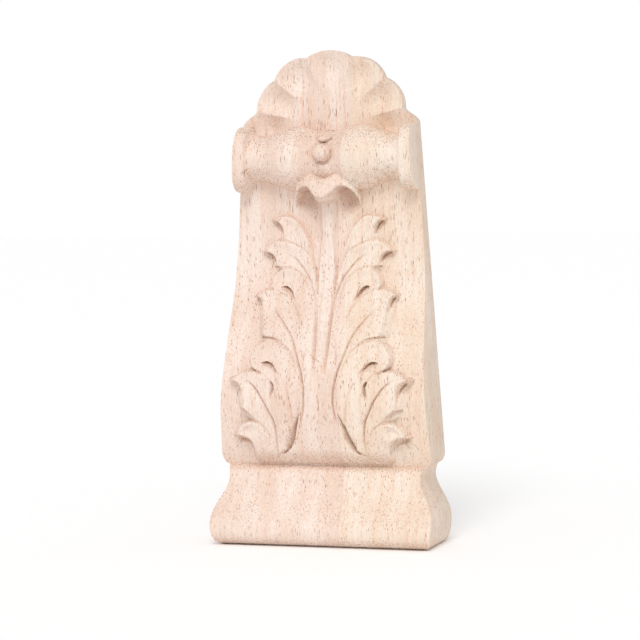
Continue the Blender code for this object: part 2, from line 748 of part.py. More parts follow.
    def creases(self, step: float) -> Field:
        """Places along the sharp lines, for the mesh to follow.

        Args:
            step: distance between places.

        Returns:
            The places, one row each.
        """
        found = [tracks(leaf.top, (-0.2, 0.1, 0.45), step) for leaf in self.leaves]
        found += [tracks((leaf.top[-1],) + leaf.under, (-leaf.foot, 0.0, 0.45), step) for leaf in self.leaves]
        found += [tracks(cut.line, (-cut.half, 0.0, cut.half), step) for cut in self.cuts]
        found += [tracks(scoop.line, (-scoop.steep, 0.0), step) for scoop in self.scoops]
        return np.vstack(found)

    def trunk(self, x: Field, z: Field) -> Field:
        """Share of the full height at which the trunk stands.

        Args:
            x: places across.
            z: places up.

        Returns:
            The shares, 0 beside the trunk.
        """
        side = spline(self.trunk_side)
        ring = np.vstack([side, [(-3, side[-1, 1]), (-3, side[0, 1])]])
        return ease(inside_by(x, z, ring), -0.2, 0.8)

    def rise(self, x: Field, z: Field) -> Field:
        """Rise of the leaves, trunk and stem over the panel.

        Args:
            x: places across.
            z: places up.

        Returns:
            The rises.
        """
        mass = self.trunk(x, z)
        form = np.zeros(x.shape)
        for leaf in self.leaves:
            near = close_to(x, z, leaf.top + leaf.under, 3.0)
            own, within, free, wall = leaf.relief(x[near], z[near])
            cut = self.edge_cut * np.exp(-((within / self.edge_width) ** 2)) * free * mass[near]
            before = form[near] - np.where(within <= 0, cut, 0)
            form[near] = before + (own - before) * ease(within, -0.2, 0.2 + 3.5 * (1 - free))
            mass[near] = np.maximum(mass[near], wall)
        level = along(self.level, z)
        beside_stem = np.exp(-(((x - self.web_x) / self.web_width) ** 2))
        web = self.web_rise * beside_stem * (1 - ease(z, self.web_fades, self.web_ends))
        rise = np.maximum(mass * (level + form), web)
        arch = np.sqrt(np.clip(1 - (x / self.stem_half) ** 2, 0, 1))
        stem = (level + along(self.stem_lift, z)) * arch
        in_stem = (x < self.stem_half) & (z > self.stem_foot) & (z < self.stem_top)
        grown = rise + np.maximum(stem - rise, 0) * ease(z, self.stem_foot, self.stem_foot + self.stem_grows)
        rise = np.where(in_stem, grown, rise)
        deepest = np.zeros(x.shape)
        for cut in self.cuts:
            near = close_to(x, z, cut.line, 4.0)
            deepest[near] = np.maximum(deepest[near], cut.depth(x[near], z[near]))
        return np.maximum(rise - deepest, 0)

    def over(self, x: Field, z: Field, panel: Field) -> Field:
        """Depth of the panel with the stalk on it and the scoops sunk in it.

        Args:
            x: places across.
            z: places up.
            panel: depth of the plain panel.

        Returns:
            The depths.
        """
        up = np.clip((z - self.tuck_z) / self.tuck_height, 0, 1)
        tucked = self.tuck_least + (1 - self.tuck_least) * np.sqrt(1 - (1 - up) ** 2)
        depth = panel + self.rise(x, z) * tucked
        for scoop in self.scoops:
            near = close_to(x, z, scoop.line, 3.0)
            depth[near] -= scoop.depth(x[near], z[near])
        return depth


OUTLINE = BlockOutline()
MOULDING = Moulding()
ROLL = TurnedRoll()
SHELL = ScallopShell()
BEADS = BeadDrop()
CURL = LeafCurl()
STALK = AcanthusStalk()


def front_depth(x: Field, z: Field) -> Field:
    """Depth of the carved front over the flat back at each place.

    Args:
        x: places across.
        z: places up.

    Returns:
        The depths.
    """
    x = np.abs(x)
    panel = MOULDING.panel_depth(z)
    carved = STALK.over(x, z, panel) - CURL.hollow(x, z)
    depth = np.where(z < CREASE_Z, MOULDING.foot_depth(z, DEPTH), carved)
    turned = ROLL.depth(x, z)
    fluted = SHELL.depth(x, z, OUTLINE)
    upper = np.where(z > ROLL_Z, np.maximum(turned, fluted), np.maximum(turned, carved))
    depth = np.where(z > ROLL_Z - ROLL.flange_radius - 1, upper, depth)
    depth = BEADS.over(x, z, depth, ROLL)
    return np.maximum(depth, CURL.depth(x, z))


def spaced_places(cell: float, edge: list[tuple[float, float]]) -> list[tuple[float, float]]:
    """Points inside the right half: along the carving's sharp lines, and evenly between them.

    Args:
        cell: distance between points.
        edge: the half's outline.

    Returns:
        The points, x and z.
    """
    creases = STALK.creases(cell)
    _, first = np.unique(np.round(creases / (cell / 2)), axis=0, return_index=True)
    creases = creases[np.sort(first)]
    tree = KDTree(len(creases))
    for number, (x, z) in enumerate(creases):
        tree.insert((x, z, 0.0), number)
    tree.balance()
    row_gap = cell * math.sqrt(3) / 2
    grid = np.array([
        (x + cell / 2 * (row % 2), z)
        for row, z in enumerate(np.arange(row_gap, HEIGHT, row_gap))
        for x in np.arange(cell / 2, WIDTH / 2, cell)])
    spaced = [tree.find((x, z, 0.0))[2] > cell / 2 for x, z in grid]
    inner = np.vstack([creases, grid[spaced]])
    clear = inside_by(inner[:, 0], inner[:, 1], np.array(edge)) > cell / 2
    return [tuple(place) for place in inner[clear]]


def front_sheet(cell: float) -> bpy.types.Mesh:
    """Mesh of the right half of the carved front, open all round.

    Args:
        cell: distance between its points.

    Returns:
        The mesh, in metres.
    """
    edge = OUTLINE.edge(cell)
    loop = [(k, (k + 1) % len(edge)) for k in range(len(edge))]
    verts, _, faces, _, _, _ = delaunay_2d_cdt(edge + spaced_places(cell, edge), loop, [], 1, 1e-6)
    flat = np.array([tuple(v) for v in verts])
    depth = front_depth(flat[:, 0], flat[:, 1])
    mesh = bpy.data.meshes.new("front_sheet")
    mesh.from_pydata([(x * MM, (DEPTH / 2 - d) * MM, z * MM) for (x, z), d in zip(flat, depth)], [], faces)
    return mesh


def thinned(mesh: bpy.types.Mesh, triangles: int) -> bpy.types.Mesh:
    """The same sheet with fewer triangles where it is plain.

    Args:
        mesh: the sheet.
        triangles: how many to keep.

    Returns:
        The thinned mesh.
    """
    sheet = bpy.data.objects.new("sheet", mesh)
    bpy.context.scene.collection.objects.link(sheet)
    thin = sheet.modifiers.new("thin", "DECIMATE")
    thin.ratio = triangles / len(mesh.polygons)
    graph = bpy.context.evaluated_depsgraph_get()
    result = bpy.data.meshes.new_from_object(sheet.evaluated_get(graph))
    bpy.data.objects.remove(sheet)
    return result


def backed_half(sheet: bpy.types.Mesh) -> bpy.types.Mesh:
    """The half block: the front sheet, its side wall square to the back, and the flat back.

    Args:
        sheet: the right half of the front.

    Returns:
        The half block, open along the middle.
    """
    bm = bmesh.new()
    bm.from_mesh(sheet)
    snap = MIDDLE_SNAP * MM
    for vert in (v for v in bm.verts if v.is_boundary):
        if vert.co.x < snap:
            vert.co.x = 0.0
        if vert.co.z < snap:
            vert.co.z = 0.0
        if vert.co.z > HEIGHT * MM - snap and vert.co.x == 0.0:
            vert.co.z = HEIGHT * MM
    open_edges = [e for e in bm.edges if e.is_boundary and any(v.co.x > 0 for v in e.verts)]
    wall = bmesh.ops.extrude_edge_only(bm, edges=open_edges)
    back = [item for item in wall["geom"] if isinstance(item, bmesh.types.BMVert)]
    back_y = DEPTH / 2 * MM
    for vert in back:
        vert.co.y = back_y
    back_edges = [item for item in wall["geom"] if isinstance(item, bmesh.types.BMEdge)
                  and all(abs(v.co.y - back_y) < 1e-9 for v in item.verts)]
    ends = [v for v in back if v.co.x == 0.0]
    back_edges.append(bm.edges.new(ends))
    bmesh.ops.contextual_create(bm, geom=back_edges)
    bmesh.ops.recalc_face_normals(bm, faces=bm.faces)
    mesh = bpy.data.meshes.new("block")
    bm.to_mesh(mesh)
    bm.free()
    return mesh


def pale_wood() -> bpy.types.Material:
    """Bare sanded hardwood, pale pinkish cream."""
    material = bpy.data.materials.new("bare_wood")
    material.use_nodes = True
    shader = material.node_tree.nodes["Principled BSDF"]
    shader.inputs["Base Color"].default_value = WOOD_COLOUR
    shader.inputs["Roughness"].default_value = WOOD_ROUGHNESS
    shader.inputs["Metallic"].default_value = 0.0
    return material


def build() -> None:
    """The carved block, mirrored about its middle."""
    for old in list(bpy.data.objects):
        bpy.data.objects.remove(old)
    group = bpy.data.collections.new("wood_applique")
    bpy.context.scene.collection.children.link(group)
    sheet = thinned(front_sheet(CELL), FRONT_TRIANGLES)
    block = bpy.data.objects.new("carved_block", backed_half(sheet))
    group.objects.link(block)
    block.data.materials.append(pale_wood())
    mirror = block.modifiers.new("mirror", "MIRROR")
    mirror.use_axis = (True, False, False)
    mirror.merge_threshold = MIDDLE_MERGE * MM


build()
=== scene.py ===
"""Looks of the carved wood applique: one block of bare rubberwood with a moulded foot, a panel of
acanthus leaves, a turned roll with beads and a scallop shell.

The carving is a relief, worked out as one depth over the flat back at each place across the
front. The shapes' sizes are millimetres in the relief's own plane, x across and z up, and they
are turned to metres where the mesh is made.
"""
import logging
import math
from dataclasses import dataclass
from enum import Enum

import bmesh
import bpy
import numpy as np
from mathutils import Matrix, Vector
from mathutils.geometry import delaunay_2d_cdt
from mathutils.kdtree import KDTree


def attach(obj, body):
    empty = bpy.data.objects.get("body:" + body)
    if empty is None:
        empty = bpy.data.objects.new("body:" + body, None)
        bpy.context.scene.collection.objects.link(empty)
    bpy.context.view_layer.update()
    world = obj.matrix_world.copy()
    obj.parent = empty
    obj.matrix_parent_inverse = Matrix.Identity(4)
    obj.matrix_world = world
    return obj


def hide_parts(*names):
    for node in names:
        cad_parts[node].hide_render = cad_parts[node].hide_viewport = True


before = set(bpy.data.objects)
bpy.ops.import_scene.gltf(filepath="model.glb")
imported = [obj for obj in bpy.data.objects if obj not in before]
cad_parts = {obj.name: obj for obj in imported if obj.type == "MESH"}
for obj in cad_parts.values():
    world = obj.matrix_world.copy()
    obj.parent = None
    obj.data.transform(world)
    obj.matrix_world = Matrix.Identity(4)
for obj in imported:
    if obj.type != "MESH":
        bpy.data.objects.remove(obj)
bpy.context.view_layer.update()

MM = 0.001
NODE = "carved_block"
TINY = 1e-12                 # added where a length could be zero and is divided by
SMALL = 1e-9                 # added where a distance could be; also metres that don't count
SAME_PLACE = 1e-6            # points this near, in mm, are one when the sheet is triangulated
INSIDE_ONLY = 1              # the triangulation keeps what is inside its outline
PROFILE_STEPS = 16           # short runs between two points of a profile
Field = np.ndarray
Line = tuple[tuple[float, float], ...]

log = logging.getLogger("applique")


def ease(value: Field, low: float, high: float) -> Field:
    """Smooth step from 0 at low to 1 at high."""
    share = np.clip((value - low) / (high - low), 0, 1)
    return share * share * (3 - 2 * share)


def spline(points: Line, per_span: int = 8) -> Field:
    """Smooth curve through points.

    Args:
        points: places that the curve passes through.
        per_span: short runs between two of them.

    Returns:
        The curve's own points, one row each.
    """
    marks = np.asarray(points, float)
    marks = np.vstack([2 * marks[0] - marks[1], marks, 2 * marks[-1] - marks[-2]])
    t = np.linspace(0, 1, per_span, endpoint=False)[:, None]
    runs = []
    for a, b, c, d in zip(marks[:-3], marks[1:-2], marks[2:-1], marks[3:]):
        bend = (2 * a - 5 * b + 4 * c - d) * t**2 + (3 * b - a - 3 * c + d) * t**3
        runs.append(b + 0.5 * ((c - a) * t + bend))
    return np.vstack(runs + [marks[-2:-1]])


def lengths(line: Field) -> Field:
    """Distance run along a line at each of its points."""
    return np.concatenate([[0], np.cumsum(np.hypot(*np.diff(line, axis=0).T))])


def beside(x: Field, z: Field, line: Field) -> tuple[Field, Field]:
    """Distance from each place to a line, negative on the line's left.

    Args:
        x: places across.
        z: places up.
        line: the line's points.

    Returns:
        The distances, and the share of the line's length at the nearest places.
    """
    run = lengths(line)
    best = np.full(x.shape, np.inf)
    share = np.zeros(x.shape)
    for (ax, az), (bx, bz), start, end in zip(line[:-1], line[1:], run[:-1], run[1:]):
        dx, dz = bx - ax, bz - az
        t = np.clip(((x - ax) * dx + (z - az) * dz) / (dx * dx + dz * dz + TINY), 0, 1)
        distance = np.hypot(x - ax - t * dx, z - az - t * dz)
        closer = distance < np.abs(best)
        side = np.where(dx * (z - az) - dz * (x - ax) > 0, -1, 1)
        best = np.where(closer, side * distance, best)
        share = np.where(closer, (start + t * (end - start)) / run[-1], share)
    return best, share


def nearest(x: Field, z: Field, line: Field) -> tuple[Field, Field]:
    """Distance from each place to a line, and the share of its length at the nearest places."""
    distance, share = beside(x, z, line)
    return np.abs(distance), share


def tracks(points: Line, aside: tuple[float, ...], step: float) -> Field:
    """Places set evenly along a line and beside it.

    Args:
        points: marks of the line.
        aside: distances from the line, to its right, at which to set places.
        step: distance between places.

    Returns:
        The places, one row each.
    """
    line = spline(points)
    run = lengths(line)
    at = np.arange(0, run[-1], step)
    middle = np.column_stack([np.interp(at, run, line[:, 0]), np.interp(at, run, line[:, 1])])
    way = np.gradient(middle, axis=0)
    way /= np.hypot(way[:, :1], way[:, 1:]) + TINY
    right = np.column_stack([way[:, 1], -way[:, 0]])
    return np.vstack([middle + right * distance for distance in aside])


def inside_by(x: Field, z: Field, ring: Field) -> Field:
    """Distance of each place to a closed outline, positive inside it.

    Args:
        x: places across.
        z: places up.
        ring: the outline's points.

    Returns:
        The distances.
    """
    closed = np.vstack([ring, ring[:1]])
    distance, _ = nearest(x, z, closed)
    inside = np.zeros(x.shape, bool)
    for (ax, az), (bx, bz) in zip(closed[:-1], closed[1:]):
        if az != bz:
            spans = (az > z) != (bz > z)
            inside ^= spans & (x < (bx - ax) * (z - az) / (bz - az) + ax)
    return np.where(inside, distance, -distance)


def close_to(x: Field, z: Field, points: Line, margin: float) -> Field:
    """Which places lie in the box round some points, widened by a margin.

    Args:
        x: places across.
        z: places up.
        points: the points.
        margin: how far the box is widened on each side.

    Returns:
        True for the places in the box.
    """
    low = np.min(points, axis=0) - margin
    high = np.max(points, axis=0) + margin
    return (x > low[0]) & (x < high[0]) & (z > low[1]) & (z < high[1])


def along(points: Line, at: Field) -> Field:
    """Value of a profile's smooth curve at each place."""
    curve = spline(points, PROFILE_STEPS)
    return np.interp(at, curve[:, 0], curve[:, 1])


def rising_through(x: Field, z: Field, marks: tuple[tuple[float, float, float], ...],
                   softness: float) -> Field:
    """Smooth height through marked places.

    Args:
        x: places across.
        z: places up.
        marks: x, z and height of each mark.
        softness: how far the height may round a mark off, in square millimetres.

    Returns:
        The height at each place.
    """
    total = np.zeros(x.shape)
    weights = np.zeros(x.shape)
    for mark_x, mark_z, height in marks:
        weight = 1 / ((x - mark_x) ** 2 + (z - mark_z) ** 2 + softness) ** 2
        total += weight * height
        weights += weight
    return total / weights


@dataclass(frozen=True)
class BlockOutline:
    """Outline of the block seen from the front: foot, neck, tapering panel and scalloped top."""

    height: float = 160.0
    depth: float = 24.9
    foot_half: float = 34.6
    bulge_half: float = 37.5
    neck_half: float = 32.5
    panel_foot_half: float = 35.9
    taper: float = 0.0575
    bulge_z: float = 8.0
    neck_z: float = 22.3
    crease_z: float = 25.7
    corner_z: float = 29.6
    shoulder_z: float = 135.8
    hinge_z: float = 135.0
    ridge_angles: tuple[float, ...] = (13.0, 40.0, 72.0)
    notch_radii: tuple[float, ...] = (25.5, 24.3, 23.7)
    lobe_rises: tuple[float, ...] = (1.2, 1.6, 1.25)
    lobe_fullness: float = 0.8   # below 1 the rim's lobes are fuller than a sine
    neck_flare: float = 0.9      # how far the neck opens again up to the crease
    ogee_lean: float = 1.1       # above 1 the foot's curve bends later

    def half_width(self, z: Field) -> Field:
        """Half width of the block at each height below the shell.

        Args:
            z: heights.

        Returns:
            The half widths.
        """
        z = np.asarray(z, float)
        drop = 1 - np.sqrt(np.clip(1 - ((self.bulge_z - z) / self.bulge_z) ** 2, 0, 1))
        foot = self.bulge_half - (self.bulge_half - self.foot_half) * drop
        up = np.clip((z - self.bulge_z) / (self.neck_z - self.bulge_z), 0, 1)
        drawn_in = self.bulge_half - self.neck_half
        ogee = self.neck_half + drawn_in * 0.5 * (1 + np.cos(math.pi * up**self.ogee_lean))
        above = np.clip((z - self.neck_z) / (self.crease_z - self.neck_z), 0, 1)
        neck = self.neck_half + self.neck_flare * above**2
        turn = np.clip((self.corner_z - z) / (self.corner_z - self.crease_z), 0, 1)
        overhang = self.panel_foot_half - self.neck_half - self.neck_flare
        panel = self.panel_foot_half - self.taper * (z - self.crease_z)
        panel = panel - overhang * (1 - np.sqrt(np.clip(1 - turn**2, 0, 1)))
        upper = np.where(z < self.crease_z, neck, panel)
        return np.where(z < self.bulge_z, foot, np.where(z < self.neck_z, ogee, upper))

    def shoulder(self) -> tuple[float, float]:
        """Radius and angle, in degrees from +X about the hinge, where the shell's edge starts.

        Returns:
            Radius and angle.
        """
        across = float(self.half_width(self.shoulder_z))
        up = self.shoulder_z - self.hinge_z
        return math.hypot(across, up), math.degrees(math.atan2(up, across))

    def rim_radius(self, angle: Field) -> Field:
        """Radius of the scalloped rim at each angle in degrees.

        Args:
            angle: angles from +X about the hinge.

        Returns:
            The radii.
        """
        marks = [*self.ridge_angles, 180 - self.ridge_angles[-1]]
        notches = [*self.notch_radii, self.notch_radii[-1]]
        radius = np.interp(angle, marks, notches)
        for low, high, rise in zip(marks[:-1], marks[1:], self.lobe_rises):
            share = np.clip((angle - low) / (high - low), 0, 1)
            radius = radius + rise * np.sin(math.pi * share) ** self.lobe_fullness
        reach, start = self.shoulder()
        share = ease(marks[0] - angle, 0, marks[0] - start)
        return np.where(angle < marks[0], notches[0] + (reach - notches[0]) * share, radius)

    def edge(self, step: float) -> list[tuple[float, float]]:
        """Points round the right half, from the bottom centre and back down the middle.

        Args:
            step: distance between points.

        Returns:
            The points, x and z.
        """
        foot = [(x, 0.0) for x in np.arange(0, self.foot_half - step / 2, step)]
        heights = np.linspace(0, self.shoulder_z, round(self.shoulder_z / step), endpoint=False)
        side = list(zip(self.half_width(heights), heights))
        _, start = self.shoulder()
        count = round(math.radians(90 - start) * self.notch_radii[0] / step)
        angles = np.linspace(start, 90, count)
        radii = self.rim_radius(angles)
        turn = np.radians(angles)
        rim = list(zip(radii * np.cos(turn), self.hinge_z + radii * np.sin(turn)))
        rim[-1] = (0.0, self.height)
        middle = [(0.0, z) for z in np.arange(self.height - step, step / 2, -step)]
        return foot + side + rim + middle


@dataclass(frozen=True)
class Moulding:
    """Front profiles of the foot and of the panel over it, as height and depth over the back."""

    foot: Line = (
        (0.0, 20.0), (0.9, 22.6), (2.4, 24.2), (4.6, 24.9), (7.2, 24.6), (10.0, 23.2), (13.0, 21.4),
        (16.0, 19.8), (19.0, 18.9), (22.0, 18.2), (24.4, 17.2), (25.7, 15.3))
    panel: Line = (
        (25.7, 14.9), (26.8, 15.3), (31.0, 16.7), (38.0, 18.1), (47.0, 19.0), (56.0, 17.6),
        (65.0, 14.8), (74.0, 11.7), (83.0, 8.9), (92.0, 7.2), (101.0, 6.55), (112.0, 6.4), (124.0, 6.4))

    def foot_depth(self, z: Field, most: float) -> Field:
        """Depth of the moulded foot, at most as deep as the block."""
        return np.minimum(along(self.foot, z), most)

    def panel_depth(self, z: Field) -> Field:
        """Depth of the plain panel between the leaves."""
        return along(self.panel, z)


@dataclass(frozen=True)
class TurnedRoll:
    """Roll across the top of the panel, with a pinched middle, two swellings and end flanges."""

    z: float = 125.0
    depth_at: float = 4.5
    flange_radius: float = 10.8
    flange_from: float = 25.6    # where the step up to the flange starts and ends
    flange_to: float = 26.5
    flange_front: float = 10.6
    flange_square: float = 0.9   # how far the flange's round is squared off
    profile: Line = (
        (0.0, 8.6), (2.5, 8.7), (4.6, 9.2), (6.8, 10.0), (9.4, 10.7), (12.0, 10.8), (15.0, 10.1),
        (18.0, 8.8), (21.0, 7.8), (23.5, 7.6), (25.6, 8.3))
    front: Line = (
        (0.0, 8.3), (2.5, 8.5), (4.6, 9.2), (6.8, 10.2), (9.4, 11.1), (12.0, 11.3), (15.0, 10.8),
        (18.0, 9.9), (21.0, 9.3), (23.5, 9.4), (25.6, 10.0))

    def depth(self, x: Field, z: Field) -> Field:
        """Depth of the roll, and 0 beside it.

        Args:
            x: places across.
            z: places up.

        Returns:
            The depths.
        """
        radius = along(self.profile, x)
        reach = along(self.front, x)
        step = ease(x, self.flange_from, self.flange_to)
        radius = radius + (self.flange_radius - radius) * step
        reach = reach + (self.flange_front - reach) * step
        power = 2 + self.flange_square * step
        rest = 1 - np.abs((z - self.z) / radius) ** power
        return np.where(rest > 0, self.depth_at + reach * np.clip(rest, 0, None) ** (1 / power), 0)


@dataclass(frozen=True)
class ScallopShell:
    """Fan of scooped flutes with sharp ridges between them, about a hinge behind the roll."""

    hinge_depth: float = 2.9
    rim_rise: float = 1.5
    rim_turn: float = 4.5
    scoop: float = 2.3
    ridge_rise: float = 0.7
    lowest_angle: float = -16.0
    flute_fullness: float = 1.7  # above 1 the flutes are wide, with narrow ridges
    flutes_from: float = 11.5    # radii between which the flutes grow to their full depth
    flutes_full: float = 20.0
    rim_radius: float = 25.5
    rim_flatness: float = 0.4    # share by which they are shallower at the rim

    def depth(self, x: Field, z: Field, outline: BlockOutline) -> Field:
        """Depth of the fluted shell.

        Args:
            x: places across.
            z: places up.
            outline: the block's outline, which holds the ridges' angles.

        Returns:
            The depths.
        """
        radius = np.hypot(x, z - outline.hinge_z)
        angle = np.degrees(np.arctan2(z - outline.hinge_z, x))
        marks = [self.lowest_angle, *outline.ridge_angles, 180 - outline.ridge_angles[-1]]
        share = np.zeros(x.shape)
        for low, high in zip(marks[:-1], marks[1:]):
            share = np.where((angle >= low) & (angle < high), (angle - low) / (high - low), share)
        hollow = 1 - np.abs(2 * share - 1) ** self.flute_fullness
        grown = ease(radius, self.flutes_from, self.flutes_full)
        dish = self.hinge_depth + self.rim_rise * (radius / self.rim_radius) ** self.rim_turn
        flatter_rim = 1 - self.rim_flatness * ease(radius, self.flutes_full, self.rim_radius)
        return dish + grown * (self.ridge_rise - self.scoop * hollow * flatter_rim)


@dataclass(frozen=True)
class BeadDrop:
    """A round bead on the middle of the roll, with a teardrop over it and a bell-shaped collar under it."""

    bead_z: float = 126.9
    bead_radius: float = 3.0
    bead_depth: float = 13.3
    collar_top: float = 124.2
    collar_foot: float = 118.0
    collar_half: float = 3.3
    collar_rise: float = 0.6
    tear_z: float = 130.2
    tear_length: float = 3.9
    tear_half: float = 2.1
    tear_round: float = 0.5      # share of its height taken by its round foot
    tear_narrows: float = 0.3    # share of its height where it starts to narrow
    tear_rise: float = 1.2       # share of its half width that it stands out by
    tear_moat: float = 1.7       # depth of the groove beside the tear
    moat: float = 0.7            # depth of the groove round the bead
    moat_width: float = 0.9
    moat_ends: float = 0.2       # share of the tear's height over which its groove starts and ends
    collar_neck: float = 0.35    # the collar's width at its top, as a share
    collar_grows: float = 0.3    # share of its height over which it rises

    def over(self, x: Field, z: Field, depth: Field, roll: TurnedRoll) -> Field:
        """The depth with the beads added on it.

        Args:
            x: places across.
            z: places up.
            depth: depth without them.
            roll: the roll that they lie on.

        Returns:
            The depths.
        """
        middle_radius = roll.profile[1][1]
        ground = roll.depth_at + np.sqrt(np.clip(middle_radius**2 - (z - roll.z) ** 2, 0, None))
        down = np.clip((self.collar_top - z) / (self.collar_top - self.collar_foot), 0, 1)
        width = self.collar_half * (self.collar_neck + (1 - self.collar_neck) * np.sqrt(down))
        arch = np.sqrt(np.clip(1 - (x / width) ** 2, 0, 1))
        bell = ground + self.collar_rise * arch * ease(down, 0, self.collar_grows)
        depth = np.where((x < width) & (down > 0) & (down < 1), np.maximum(depth, bell), depth)
        away = np.hypot(x, z - self.bead_z) - self.bead_radius
        depth = depth - self.moat * np.exp(-((away / self.moat_width) ** 2))
        rest = self.bead_radius**2 - x**2 - (z - self.bead_z) ** 2
        ball = np.where(rest > 0, self.bead_depth + np.sqrt(np.clip(rest, 0, None)), 0)
        depth = np.maximum(depth, ball)
        up = np.clip((z - self.tear_z) / self.tear_length, 0, 1)
        round_end = np.sqrt(1 - (1 - np.clip(up / self.tear_round, 0, 1)) ** 2)
        half = self.tear_half * round_end * (1 - ease(up, self.tear_narrows, 1))
        beyond = (x - half) / self.moat_width
        ends = ease(up, 0, self.moat_ends) * (1 - ease(up, 1 - self.moat_ends, 1))
        depth = depth - self.tear_moat * np.exp(-(beyond**2)) * ends
        rest = half**2 - x**2
        tear = ground + self.tear_rise * np.sqrt(np.clip(rest, 0, None))
        return np.where((rest > 0) & (up > 0) & (up < 1), np.maximum(depth, tear), depth)


@dataclass(frozen=True)
class LeafCurl:
    """Leaf end turned over below the bead: a cap with two arms, and a round tongue between them."""

    outer: Line = (
        (-3.5, 120), (-1.7, 119.2), (0, 118.7), (1.7, 119.2), (3.5, 120), (5, 120), (6.6, 119.3),
        (8.6, 117.9), (10.1, 115.8), (11, 113.5), (11.4, 111), (11.3, 107.5))
    inner: Line = (
        (10.8, 108), (10.4, 111), (9.6, 113.3), (8.1, 115), (6.6, 115.7), (5.5, 115.6), (4.5, 114.9),
        (3.4, 113.6), (2, 112.5), (0, 112), (-2, 112.5))
    marks: tuple[tuple[float, float, float], ...] = (
        (0, 112, 16.3), (2, 112.5, 16.1), (3.4, 113.6, 15.4), (4.5, 114.9, 14.6), (5.5, 115.6, 14),
        (6.6, 115.7, 13.4), (8.1, 115, 12.2), (9.6, 113.3, 10.4), (10.4, 111, 8.4), (10.9, 107.8, 6.6),
        (0, 118.7, 13.3), (3.5, 120, 12.9), (5, 120, 12.6), (6.6, 119.3, 12.4), (8.6, 117.9, 11.9),
        (10.1, 115.8, 10.9), (11, 113.5, 9.3), (11.4, 111, 7.9), (11.3, 107.5, 6.5), (0, 115.4, 15.1),
        (3.2, 116.9, 14.5))
    tongue_top: float = 114.6
    tongue_edge: float = 112.0
    tongue_foot: float = 110.2
    tongue_half: float = 4.3
    tongue_back: float = 1.5     # how far it stands back from the cap's lip
    tongue_fullness: float = 0.35
    tongue_square: float = 2.4   # above 2 its outline is squarer than an ellipse
    tongue_least: float = 1e-6   # half width that it keeps at its foot
    blend: float = 2.0           # how far the marks' depths run into each other, mm2
    lip_rounding: float = 0.5
    lip_width: float = 1.2       # how far in from the outline the lip is rounded
    cap_foot: float = 5.5        # depth at which the cap's walls start
    cap_skirt: float = 0.3       # how far out of the outline its walls' foot reaches
    wall_out: float = 0.2        # the walls rise from this far outside the outline
    wall_in: float = 0.35        # to this far inside it
    stem_depth: float = 10.4
    ground: float = 6.4
    hollow_x: float = 7.0
    hollow_half: float = 3.6
    hollow_depth: float = 4.0
    hollow_foot: float = 105.0   # heights between which it grows to its full depth
    hollow_full: float = 114.5
    hollow_top: float = 118.0

    def depth(self, x: Field, z: Field) -> Field:
        """Depth of the cap and the tongue, and 0 beside them.

        Args:
            x: places across.
            z: places up.

        Returns:
            The depths.
        """
        ring = np.vstack([spline(self.outer), spline(self.inner)])
        within = inside_by(x, z, ring)
        near = within > -self.cap_skirt
        cap = np.zeros(x.shape)
        face = rising_through(x[near], z[near], self.marks, self.blend)
        rounded = self.lip_rounding * (1 - ease(within[near], 0, self.lip_width))
        high = face - rounded - self.cap_foot
        cap[near] = self.cap_foot + high * ease(within[near], -self.wall_out, self.wall_in)
        down = np.clip((self.tongue_top - z) / (self.tongue_top - self.tongue_foot), 0, 1)
        narrowed = np.sqrt(np.clip(1 - down**self.tongue_square, 0, 1))
        reach = self.tongue_half * narrowed + self.tongue_least
        under = np.clip((self.tongue_edge - z) / (self.tongue_edge - self.tongue_foot), 0, 1)
        lip = self.marks[0][2] - self.tongue_back
        front = self.stem_depth + (lip - self.stem_depth) * np.sqrt(1 - under**2)
        across = np.clip(1 - (x / reach) ** 2, 0, 1) ** self.tongue_fullness
        there = (x < reach) & (z < self.tongue_top) & (z > self.tongue_foot)
        return np.maximum(cap, np.where(there, self.ground + (front - self.ground) * across, 0))

    def hollow(self, x: Field, z: Field) -> Field:
        """How far the panel is sunk under each arm of the cap.

        Args:
            x: places across.
            z: places up.

        Returns:
            The depths to take off.
        """
        across = np.clip(1 - ((x - self.hollow_x) / self.hollow_half) ** 2, 0, 1)
        grown = ease(z, self.hollow_foot, self.hollow_full)
        return np.where(z < self.hollow_top, self.hollow_depth * across * grown, 0)


